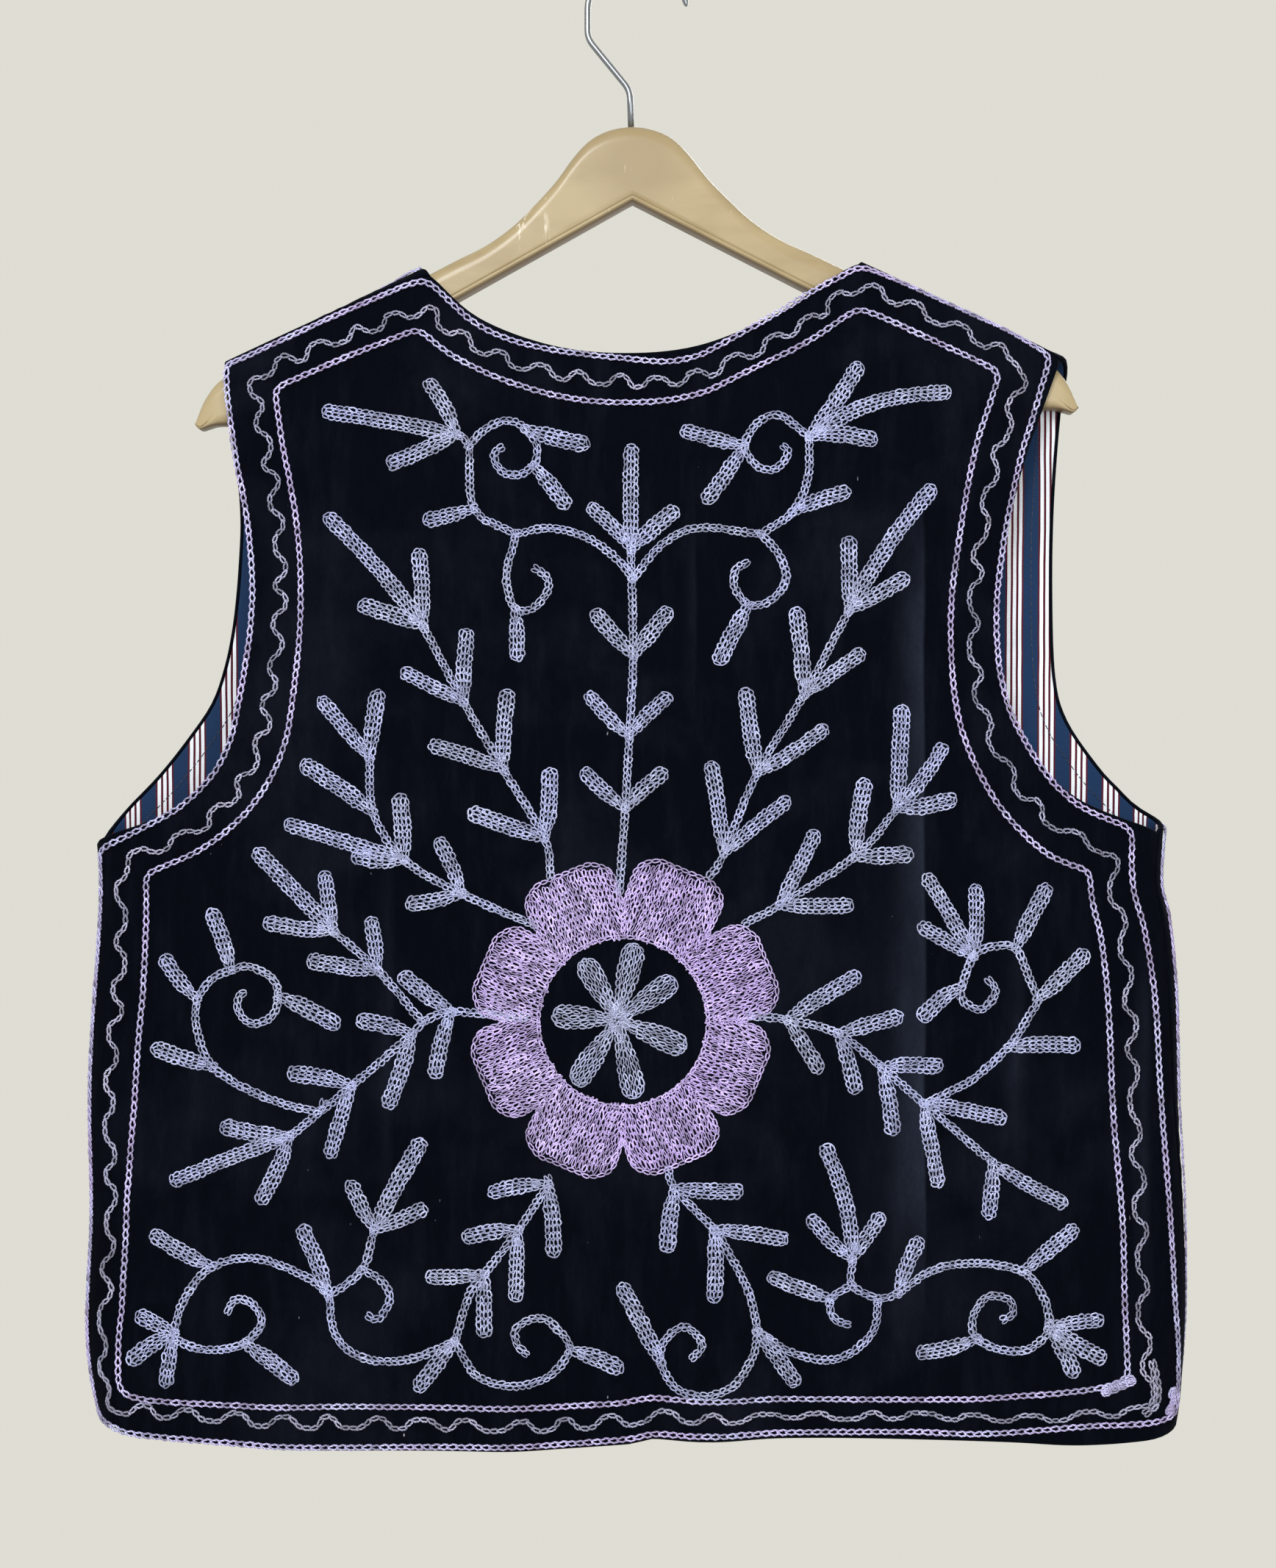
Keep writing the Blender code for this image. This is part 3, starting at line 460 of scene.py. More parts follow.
class VEST_PG_hanger(bpy.types.PropertyGroup):
    """Colours and steps of the hanger and its hook."""

    moulding: colour("Moulding", "Glossy tan of the hanger", (0.300, 0.238, 0.134))
    # The darker colour serves the drawn streaks and also the painted shade over the crown.
    moulding_streaks_and_shade: colour("Moulding shade", "Its darker streaks and painted crown shade", (0.206, 0.155, 0.080))
    # The underside colour is painted shade for faces that point downwards.
    moulding_under_shade: colour("Moulding underside", "Painted shade on its underside", (0.150, 0.100, 0.055))
    wire: colour("Wire", "Bright steel of the hook", (0.260, 0.280, 0.305))
    arm_pitch: length("Arm pitch", "Spacing of the rings along the hanger", 0.0032, 0.001)
    crown_steps: bpy.props.IntProperty(name="Crown steps", default=22, min=8, max=64,
                                       description="Facets round the hanger's upper edge")
    wire_sides: bpy.props.IntProperty(name="Wire sides", default=20, min=8, max=48,
                                      description="Facets round the wire of the hook")


class VEST_PG_stage(bpy.types.PropertyGroup):
    """The camera, the lights and the floor."""

    distance: length("Camera distance", "From the camera to the back", 1.0, 0.3, 10.0)
    view_height: length("View height", "Height of what the camera sees", 0.796, 0.1, 10.0)
    floor_height: bpy.props.FloatProperty(name="Floor height", default=-1.35, unit="LENGTH",
                                          description="Height of the floor below the rail")
    backdrop: colour("Surroundings", "Pale light all round", (0.735, 0.722, 0.655))
    floor: colour("Floor", "Pale floor", (0.500, 0.495, 0.475))


# ---- the form of the cloth ----------------------------------------------------------------------
def table_value(table, at):
    """Smooth values of a two-column table; the ends hold their last value."""
    rows = np.array(sorted((row[0], row[1]) for row in table))
    x, y = rows[:, 0], rows[:, 1]
    order = np.arange(len(x))
    low, high = np.maximum(order - 1, 0), np.minimum(order + 1, len(x) - 1)
    slope = (y[high] - y[low]) / (x[high] - x[low])
    at = np.clip(at, x[0], x[-1])
    k = np.clip(np.searchsorted(x, at, side="right") - 1, 0, len(x) - 2)
    span = x[k + 1] - x[k]
    u = (at - x[k]) / span
    return (y[k] * (1 + 2 * u) * (1 - u) ** 2 + slope[k] * span * u * (1 - u) ** 2
            + y[k + 1] * u * u * (3 - 2 * u) + slope[k + 1] * span * u * u * (u - 1))


def smooth_step(value):
    """0 below 0, 1 above 1, and an easy rise between them."""
    value = np.clip(value, 0.0, 1.0)
    return value * value * (3 - 2 * value)


def unit_rows(rows):
    """Each row brought to a length of one."""
    return rows / np.linalg.norm(rows, axis=1)[:, None]


def left_of(rows):
    """Each direction turned a quarter anticlockwise."""
    return np.stack((-rows[:, 1], rows[:, 0]), 1)


def distances_along(line):
    """How far along a line each of its points lies."""
    return np.concatenate([[0.0], np.cumsum(np.linalg.norm(np.diff(line, axis=0), axis=1))])


def smooth_curve(points, pitch):
    """Points about one pitch apart on a smooth curve through the given ones, ends included."""
    points = np.array(points, float)
    ends = np.vstack([2 * points[0] - points[1], points, 2 * points[-1] - points[-2]])
    result = []
    for a, b, c, d in zip(ends, ends[1:], ends[2:], ends[3:]):
        steps = max(1, round(float(np.linalg.norm(c - b)) / pitch))
        u = (np.arange(steps) / steps)[:, None]
        result.append(0.5 * (2 * b + (c - a) * u + (2 * a - 5 * b + 4 * c - d) * u ** 2
                             + (3 * b - 3 * c + d - a) * u ** 3))
    return np.vstack(result + [points[-1:]])


def shoulder_axes(side):
    """Directions along a shoulder, down to its tip, and square to it, upwards."""
    return (np.array((side.sign * cos(SHOULDER_SLOPE), -sin(SHOULDER_SLOPE))),
            np.array((side.sign * sin(SHOULDER_SLOPE), cos(SHOULDER_SLOPE))))


def on_side(side, across):
    """Whether places lie on this side of the middle line."""
    return (across < MIDDLE) == (side is LEFT)


def shoulder_roll(side, places):
    """Where a shoulder starts to roll, and how far above that line each place lies."""
    square = shoulder_axes(side)[1]
    start = np.array(side.neck) - SHOULDER_ROLL * square
    return start, (places - start) @ square


def side_roll(side, height):
    """Half the vest's depth at each height, and how far across its side starts to roll."""
    depth = table_value(HALF_DEPTH, height)
    return depth, table_value(side.line, height) - depth


def relief(face, across, height):
    """How far the folds and creases lift the cloth outwards."""
    lift = np.zeros_like(across)
    for fold in BACK_FOLDS if face == BACK else FRONT_FOLDS:
        inside = np.minimum(fold.top - height, height - fold.bottom) / FOLD_FADE
        width = (across - fold.across) / fold.reach
        lift += fold.rise * smooth_step(inside) / (1 + width * width) ** 2
    for crease in BACK_CREASES if face == BACK else FRONT_CREASES:
        start, run = np.array(crease.start), np.subtract(crease.end, crease.start)
        size = np.linalg.norm(run)
        run = run / size
        along = (across - start[0]) * run[0] + (height - start[1]) * run[1]
        aside = ((height - start[1]) * run[0] - (across - start[0]) * run[1]) / crease.reach
        fade = smooth_step(np.minimum(along, size - along) / (0.3 * size))
        lift += crease.rise * fade / (1 + aside * aside) ** 2
    return lift


def cloth_points(face, places):
    """Points on the outer face of the cloth, for places in a panel's pattern."""
    across, height = places[:, 0], places[:, 1]
    folds = relief(face, across, height)
    result = np.zeros((len(places), 3))
    for side in (LEFT, RIGHT):
        mine = on_side(side, across)
        along, square = shoulder_axes(side)
        start, rise = shoulder_roll(side, places)
        run = (places - start) @ along
        turn = rise / SHOULDER_ROLL
        spot = start + run[:, None] * along + SHOULDER_ROLL * np.sin(turn)[:, None] * square
        over = np.stack((spot[:, 0], face * SHOULDER_ROLL * np.cos(turn), spot[:, 1]), 1)
        depth, limit = side_roll(side, height)
        beyond = side.sign * across - limit
        turn = beyond / depth
        round_side = np.stack((side.sign * (limit + depth * np.sin(turn)),
                               face * depth * np.cos(turn), height), 1)
        fade = smooth_step(np.minimum(-beyond, -rise) / SIDE_FADE)
        flat = np.stack((across, face * (depth + fade * folds), height), 1)
        found = np.where((rise > 0)[:, None], over,
                         np.where((beyond > 0)[:, None], round_side, flat))
        result[mine] = found[mine]
    return result


def outward(face, places):
    """Unit normals of the cloth's outer face, from its slope over a short step."""
    step = 0.0005
    over = (cloth_points(face, places + (step, 0)) - cloth_points(face, places - (step, 0)))
    up = (cloth_points(face, places + (0, step)) - cloth_points(face, places - (0, step)))
    return unit_rows(np.cross(over, up) * -face)


def pattern_of(seen):
    """Places in a panel's pattern, for places as they are seen square on."""
    places = np.array(seen, float)
    for side in (LEFT, RIGHT):
        mine = on_side(side, places[:, 0])
        square = shoulder_axes(side)[1]
        rise = shoulder_roll(side, places)[1]
        longer = SHOULDER_ROLL * np.arcsin(np.clip(rise / SHOULDER_ROLL, 0, 1))
        over = places + (longer - rise)[:, None] * square
        depth, limit = side_roll(side, places[:, 1])
        beyond = side.sign * places[:, 0] - limit
        longer = limit + depth * np.arcsin(np.clip(beyond / depth, 0, 1))
        round_side = np.stack((side.sign * longer, places[:, 1]), 1)
        found = np.where((rise > 0)[:, None], over,
                         np.where((beyond > 0)[:, None], round_side, places))
        places[mine] = found[mine]
    return places


# ---- edges of the panels ------------------------------------------------------------------------
def shoulder_seam(side, face, pitch):
    """Pattern places of a shoulder seam from the neck to the armhole."""
    along, square = shoulder_axes(side)
    first = side.shoulder[0][0]
    distance = np.linspace(first, SHOULDER_SEAM, ceil((SHOULDER_SEAM - first) / pitch) + 1)
    lift = np.radians(table_value(side.shoulder, distance))
    turn = lift if face == BACK else pi - lift
    rise = SHOULDER_ROLL * turn - SEAM_GAP / 2 - SHOULDER_ROLL
    return np.array(side.neck) + distance[:, None] * along + rise[:, None] * square


def side_seam(side, face, pitch):
    """Pattern places of a side seam from the armpit to the hem."""
    height = np.linspace(side.armpit, side.hem, ceil((side.armpit - side.hem) / pitch) + 1)
    lift = np.radians(table_value(side.seam, height))
    turn = lift if face == BACK else pi - lift
    depth, limit = side_roll(side, height)
    return np.stack((side.sign * (limit + depth * turn - SEAM_GAP / 2), height), 1)


def back_edges(seams, sides, pitch):
    """All edges of the back in order, anticlockwise as its pattern is drawn."""
    arms = [smooth_curve([seam[-1], *side.arm, down[0]], pitch)
            for side, seam, down in zip((LEFT, RIGHT), seams, sides)]
    hem = smooth_curve([sides[0][-1], *BACK_HEM, sides[1][-1]], pitch)
    neck = smooth_curve([seams[1][0], *BACK_NECKLINE, seams[0][0]], pitch)
    return [seams[0], arms[0], sides[0], hem, sides[1][::-1], arms[1][::-1], seams[1][::-1],
            neck]


def back_stretches(pitch):
    """The edges of the back in its pattern."""
    seams = [shoulder_seam(side, BACK, pitch) for side in (LEFT, RIGHT)]
    sides = [side_seam(side, BACK, pitch) for side in (LEFT, RIGHT)]
    return back_edges(seams, sides, pitch)


def front_stretches(side, pitch):
    """The edges of one front in order, anticlockwise as its pattern is drawn."""
    seam = shoulder_seam(side, FRONT, pitch)
    down = side_seam(side, FRONT, pitch)
    arm = smooth_curve([seam[-1], *side.front_arm, down[0]], pitch)
    edge = [(MIDDLE + side.sign * row[0], row[1]) for row in FRONT_EDGE]
    opening = smooth_curve([seam[0], *edge, down[-1]], pitch)
    stretches = [seam, arm, down, opening[::-1]]
    return stretches if side is LEFT else [item[::-1] for item in reversed(stretches)]


def seen_stretches(pitch):
    """The edges of the back as they are seen, where it rolls out of sight at its silhouette."""
    lines, sides = [], []
    for side in (LEFT, RIGHT):
        along = shoulder_axes(side)[0]
        distance = np.linspace(side.shoulder[0][0], SHOULDER_SEAM - SHOULDER_SETBACK, 50)
        lines.append(np.array(side.seen) + distance[:, None] * along)
        height = np.linspace(side.armpit, side.hem, ceil((side.armpit - side.hem) / pitch))
        reach = table_value(side.line, height) - SEEN_SETBACK
        sides.append(np.stack((side.sign * reach, height), 1))
    return back_edges(lines, sides, pitch)


def closed_outline(stretches):
    """One closed outline from stretches that share their end points."""
    return np.vstack([stretch[:-1] for stretch in stretches])


def inward(outline):
    """Directions into a closed outline at its corners, longer where it turns sharply."""
    square = left_of(unit_rows(np.roll(outline, -1, 0) - outline))
    before = np.roll(square, 1, 0)
    both = square + before
    share = np.maximum(1 + (square * before).sum(1), 0.35)
    return both / share[:, None]


def resampled(line, pitch, closed=False):
    """The same line with points about one pitch apart."""
    line = np.asarray(line, float)
    if closed:
        line = np.vstack([line, line[:1]])
    reach = distances_along(line)
    count = max(2, round(reach[-1] / pitch))
    at = np.linspace(0, reach[-1], count + 1)
    found = np.stack([np.interp(at, reach, line[:, k]) for k in range(line.shape[1])], 1)
    return found[:-1] if closed else found


# How many places have their distances taken at once, to spare memory.
PLACE_BATCH = 2000


def edge_distance(outline, places):
    """Distance from places to a closed outline, and whether each lies inside it."""
    a, b = outline, np.roll(outline, -1, 0)
    run = b - a
    size = (run * run).sum(1)
    near = np.full(len(places), 9.0)
    inside = np.zeros(len(places), bool)
    for start in range(0, len(places), PLACE_BATCH):
        batch = slice(start, start + PLACE_BATCH)
        spot = places[batch, None, :]
        u = np.clip(((spot - a) * run).sum(2) / size, 0, 1)
        gap = spot - a - u[:, :, None] * run
        near[batch] = np.sqrt((gap * gap).sum(2).min(1))
        crosses = (a[:, 1] > spot[:, :, 1]) != (b[:, 1] > spot[:, :, 1])
        rise = np.where(run[:, 1] == 0, 1e-12, run[:, 1])
        at = a[:, 0] + (spot[:, :, 1] - a[:, 1]) / rise * run[:, 0]
        inside[batch] = (crosses & (spot[:, :, 0] < at)).sum(1) % 2 == 1
    return near, inside


# ---- panels of cloth ----------------------------------------------------------------------------
# Added to places in a pattern for their UV map, so that it starts near nought.
PATTERN_ORIGIN = (0.35, 0.85)


def add_object(name, data):
    """A new object in the scene."""
    thing = bpy.data.objects.new(name, data)
    bpy.context.scene.collection.objects.link(thing)
    return thing


def finished_mesh(work, name):
    """A smooth mesh from a work mesh, its faces turned outwards."""
    bmesh.ops.recalc_face_normals(work, faces=work.faces)
    mesh = bpy.data.meshes.new(name)
    work.to_mesh(mesh)
    work.free()
    mesh.shade_smooth()
    return mesh


def bridge(work, rings):
    """Faces between rings that follow one another."""
    for one, two in zip(rings, rings[1:]):
        for i in range(len(one)):
            j = (i + 1) % len(one)
            work.faces.new((one[i], one[j], two[j], two[i]))


def grid_places(outline, pitch, clear):
    """Mesh places inside an outline: an even grid, twice as fine on the shoulder rolls."""
    low, high = outline.min(0), outline.max(0)
    fine = pitch / 2
    rows = np.arange(low[1], high[1], fine * 0.88)
    columns = np.arange(low[0], high[0], fine)
    i, j = np.meshgrid(np.arange(len(rows)), np.arange(len(columns)), indexing="ij")
    across = columns[j] + np.where(i % 4 < 2, 0.0, fine)
    places = np.stack((across.ravel(), rows[i].ravel()), 1)
    rise = np.full(len(places), -1.0)
    for side in (LEFT, RIGHT):
        mine = on_side(side, places[:, 0])
        square = shoulder_axes(side)[1]
        rise[mine] = ((places - side.neck) @ square + SHOULDER_ROLL)[mine]
    coarse = ((i % 2 == 0) & (j % 2 == 0)).ravel()
    places = places[coarse | (rise > -0.002)]
    near, inside = edge_distance(outline, places)
    return places[inside & (near > clear)]


def ring_line(outline, into, distance):
    """The outline moved inwards, with the points that would cross at a corner drawn together."""
    line = outline + distance * into
    if distance < 0.001:
        return line
    near, inside = edge_distance(outline, line)
    good = np.flatnonzero(inside & (near > 0.985 * distance))
    count = np.arange(len(line))
    columns = [np.interp(count, good, line[good, k], period=len(line)) for k in (0, 1)]
    return np.stack(columns, 1)


def panel_mesh(name, face, stretches, rings, pitch, shift=PATTERN_ORIGIN[0]):
    """A closed wall of cloth with turned edges; shift moves its stripes sideways.

    rings gives, from the edge inwards, the distance in from the edge and the depths of the two
    faces there; its last row holds for the rest of the panel.
    """
    outline = closed_outline(stretches)
    into = inward(outline)
    lines = [ring_line(outline, into, row[0]) for row in rings]
    core = lines[-1]
    places = np.vstack([core, grid_places(core, pitch, 0.45 * pitch)])
    found = delaunay_2d_cdt([Vector(spot) for spot in places], [], [list(range(len(core)))], 1,
                            1e-7)
    order = [ids[0] for ids in found[3]]
    triangles = [[order[i] for i in triangle] for triangle in found[2]]
    count = len(outline)
    spots, depths = [], []
    for row, line in zip(rings, [*lines[:-1], places]):
        for depth in row[1:]:
            spots.append(line)
            depths.append(np.full(len(line), depth))
    starts = np.cumsum([0] + [len(spot) for spot in spots])
    spots = np.vstack(spots)
    depths = np.concatenate(depths)
    points = cloth_points(face, spots) - depths[:, None] * outward(face, spots)
    faces = []
    for wall in (0, 1):
        turned = (face == FRONT) != (wall == 1)
        for level in range(len(rings) - 1):
            one, two = starts[2 * level + wall], starts[2 * level + 2 + wall]
            for i in range(count):
                j = (i + 1) % count
                corners = (one + i, one + j, two + j, two + i)
                faces.append(corners[::-1] if turned else corners)
        base = starts[2 * (len(rings) - 1) + wall]
        for a, b, c in triangles:
            (ax, ay), (bx, by), (cx, cy) = places[a], places[b], places[c]
            turn = (bx - ax) * (cy - ay) - (by - ay) * (cx - ax)
            corners = (base + a, base + b, base + c)
            faces.append(corners[::-1] if turned != (turn <= 0) else corners)
    mesh = bpy.data.meshes.new(name)
    mesh.from_pydata(points.tolist(), [], [tuple(int(i) for i in item) for item in faces])
    layer = mesh.uv_layers.new(name="pattern")
    corner_vertex = np.zeros(len(mesh.loops), int)
    mesh.loops.foreach_get("vertex_index", corner_vertex)
    uv = (spots + (shift, PATTERN_ORIGIN[1]))[corner_vertex]
    layer.data.foreach_set("uv", uv.ravel().astype(np.float32))
    work = bmesh.new()
    work.from_mesh(mesh)
    bpy.data.meshes.remove(mesh)
    bmesh.ops.remove_doubles(work, verts=work.verts, dist=1e-6)
    return finished_mesh(work, name)


# ---- node tools ---------------------------------------------------------------------------------
def add_node(tree, kind, **settings):
    """A node with its settings."""
    node = tree.nodes.new(kind)
    for name, value in settings.items():
        setattr(node, name, value)
    return node


def feed(tree, socket, value):
    """Wire a socket to another, or set its own value."""
    if isinstance(value, bpy.types.NodeSocket):
        tree.links.new(value, socket)
    else:
        socket.default_value = value


def feed_all(tree, node, **values):
    """Feed several inputs by their names, with _ for a space."""
    for title, value in values.items():
        feed(tree, node.inputs[title.replace("_", " ")], value)


def result(tree, kind, *values, **settings):
    """The first output of a new node, its first inputs fed in order; None leaves one alone."""
    node = add_node(tree, kind, **settings)
    for socket, value in zip(node.inputs, values):
        if value is not None:
            feed(tree, socket, value)
    return node.outputs[0]


def maths(tree, operation, *values):
    """The result of a Math node."""
    return result(tree, "ShaderNodeMath", *values, operation=operation)


def times(tree, one, two):
    """The product of two values."""
    return maths(tree, "MULTIPLY", one, two)


def times_plus(tree, one, two, three):
    """The product of two values with a third added."""
    return maths(tree, "MULTIPLY_ADD", one, two, three)


def parts_of(tree, vector):
    """The three parts of a vector."""
    node = add_node(tree, "ShaderNodeSeparateXYZ")
    tree.links.new(vector, node.inputs[0])
    return node.outputs


def blended(tree, share, one, two, mode="MIX"):
    """The colour result of a Mix node."""
    node = add_node(tree, "ShaderNodeMix", data_type="RGBA", blend_type=mode)
    feed(tree, node.inputs[0], share)
    for socket, value in zip((node.inputs[6], node.inputs[7]), (one, two)):
        is_socket = isinstance(value, bpy.types.NodeSocket)
        feed(tree, socket, value if is_socket else (*value, 1.0))
    return node.outputs[2]


def ranged(tree, value, from_low, from_high, to_low=0.0, to_high=1.0):
    """A value mapped from one range to another, held at its ends."""
    return result(tree, "ShaderNodeMapRange", value, from_low, from_high, to_low, to_high)


def distance_from(tree, vector, spot):
    """How far a place is from a spot, in metres."""
    node = add_node(tree, "ShaderNodeVectorMath", operation="DISTANCE")
    feed(tree, node.inputs[0], vector)
    feed(tree, node.inputs[1], spot)
    return node.outputs["Value"]


def noise(tree, vector, scale, detail=2.0, rough=0.5, stretch=None):
    """The value of a Noise Texture, with its pattern stretched if asked."""
    if stretch is not None:
        vector = result(tree, "ShaderNodeMapping", vector, None, None, stretch)
    node = add_node(tree, "ShaderNodeTexNoise")
    feed_all(tree, node, Vector=vector, Scale=scale, Detail=detail, Roughness=rough)
    return node.outputs[0]


def shader_group(name, outputs, **inputs):
    """An empty shader node group, from a place and named numbers to named values, and its ends."""
    tree = bpy.data.node_groups.new(name, "ShaderNodeTree")
    tree.interface.new_socket(name="Vector", in_out="INPUT", socket_type="NodeSocketVector")
    for title, default in inputs.items():
        socket = tree.interface.new_socket(name=title, in_out="INPUT",
                                           socket_type="NodeSocketFloat")
        socket.default_value = default
    for title in outputs:
        tree.interface.new_socket(name=title, in_out="OUTPUT", socket_type="NodeSocketFloat")
    return (tree, add_node(tree, "NodeGroupInput").outputs,
            add_node(tree, "NodeGroupOutput").inputs)


def use_group(tree, name, **values):
    """One of the shared groups placed in a material, its inputs given by name."""
    node = add_node(tree, "ShaderNodeGroup", node_tree=bpy.data.node_groups[name])
    feed_all(tree, node, **values)
    return node.outputs


def make_tone_drift():
    """Slow change of tone over a surface, with finer mottling in it."""
    tree, given, end = shader_group("Tone drift", ("Tone",), Scale=10.0, Contrast=1.0)
    slow = noise(tree, given["Vector"], given["Scale"], 1.0)
    quick = noise(tree, given["Vector"], times(tree, given["Scale"], 5.3), 3.0)
    both = times_plus(tree, quick, 0.35, times(tree, slow, 0.65))
    centred = maths(tree, "SUBTRACT", both, 0.5)
    wide = times(tree, centred, times(tree, given["Contrast"], 3.0))
    tone = result(tree, "ShaderNodeClamp", maths(tree, "ADD", wide, 0.5))
    tree.links.new(tone, end["Tone"])


def make_fibre_grain():
    """Fine irregular height, as of pile, fuzz or a moulded skin."""
    tree, given, end = shader_group("Fibre grain", ("Height",), Scale=900.0, Drag=0.4)
    x, y, z = parts_of(tree, given["Vector"])
    place = result(tree, "ShaderNodeCombineXYZ", x, y, times(tree, z, given["Drag"]))
    fine = noise(tree, place, given["Scale"], 3.0, 0.6)
    broad = noise(tree, place, times(tree, given["Scale"], 0.21))
    tree.links.new(times_plus(tree, broad, 0.6, fine), end["Height"])


def make_ply_twist():
    """Height of twisted plies along a strand, from the strand's own UV map."""
    tree, given, end = shader_group("Ply twist", ("Height",), Turns=9.0, Plies=2.0)
    x, y, _ = parts_of(tree, given["Vector"])
    along = times(tree, x, given["Turns"])
    phase = times_plus(tree, y, given["Plies"], along)
    wave = maths(tree, "SINE", times(tree, phase, 2 * pi))
    tree.links.new(ranged(tree, wave, -1.0, 1.0), end["Height"])


def make_scuffs():
    """Sparse fine scratches and dull patches."""
    tree, given, end = shader_group("Scuffs", ("Scratches", "Dullness"), Scale=60.0, Amount=0.5)
    place, scale, amount = given["Vector"], given["Scale"], given["Amount"]
    lines = noise(tree, place, scale, 4.0, 0.6, (9.0, 1.0, 0.9))
    level = maths(tree, "SUBTRACT", 0.74, times(tree, amount, 0.1))
    cut = maths(tree, "GREATER_THAN", lines, level)
    patch = noise(tree, place, times(tree, scale, 0.4), 3.0, 0.6)
    where = ranged(tree, patch, 0.48, 0.62)
    dull = times(tree, ranged(tree, patch, 0.42, 0.72), amount)
    tree.links.new(times(tree, cut, where), end["Scratches"])
    tree.links.new(dull, end["Dullness"])


def make_weave():
    """Plain weave of warp and weft threads, from a UV map in metres."""
    tree, given, end = shader_group("Plain weave", ("Height",), Thread=0.0005)
    waves = []
    for part in parts_of(tree, given["Vector"])[:2]:
        count = maths(tree, "DIVIDE", part, given["Thread"])
        waves.append(maths(tree, "SINE", times(tree, count, pi)))
    warp, weft = (maths(tree, "ABSOLUTE", wave) for wave in waves)
    over = ranged(tree, times(tree, *waves), -0.3, 0.3)
    low = times(tree, warp, over)
    high = times_plus(tree, weft, maths(tree, "SUBTRACT", 1.0, over), low)
    tree.links.new(high, end["Height"])


def tone_drift(tree, place, scale, contrast):
    """Slow change of tone."""
    return use_group(tree, "Tone drift", Vector=place, Scale=scale, Contrast=contrast)["Tone"]


def fibre_grain(tree, place, scale, drag):
    """Fine irregular height."""
    return use_group(tree, "Fibre grain", Vector=place, Scale=scale, Drag=drag)["Height"]


def new_finish(name):
    """A material, its tree, its Principled shader, and the places of a surface and its UV map."""
    material = bpy.data.materials.new(name)
    material.use_nodes = True
    tree = material.node_tree
    spot = add_node(tree, "ShaderNodeTexCoord").outputs
    return material, tree, tree.nodes["Principled BSDF"], spot["Object"], spot["UV"]


def bump(tree, shader, height, strength, distance):
    """Feed a height to the shader's normal."""
    node = add_node(tree, "ShaderNodeBump")
    feed_all(tree, node, Strength=strength, Distance=distance, Height=height)
    tree.links.new(node.outputs["Normal"], shader.inputs["Normal"])


# A band of painted sheen, lighter pile colour along a crease: the line it ends at, how far it
# fades to the left and to the right of that line, from this height down to that one, and its
# strength.
SheenBand = namedtuple("SheenBand", "across left right top bottom strength")
BACK_SHEEN_BANDS = named_rows(SheenBand, (
    (0.1475, 0.021, 0.0016, -0.265, -0.690, 1.00), (0.1380, 0.060, 0.0100, -0.440, -0.720, 0.22),
    (0.0310, 0.008, 0.0016, -0.265, -0.390, 0.50), (-0.1240, 0.012, 0.0040, -0.440, -0.640, 0.30),
    (0.1950, 0.012, 0.0060, -0.450, -0.640, 0.35), (-0.2500, 0.012, 0.0030, -0.560, -0.640, 0.35),
    (-0.2120, 0.016, 0.0060, -0.640, -0.730, 0.35), (0.2600, 0.010, 0.0040, -0.480, -0.700, 0.30),
))
FRONT_SHEEN_BANDS = named_rows(SheenBand, (
    (-0.1520, 0.022, 0.0020, -0.280, -0.680, 0.85), (0.1400, 0.024, 0.0020, -0.340, -0.700, 0.80),
    (0.0620, 0.012, 0.0040, -0.420, -0.600, 0.35), (-0.0880, 0.014, 0.0040, -0.480, -0.720, 0.35),
))


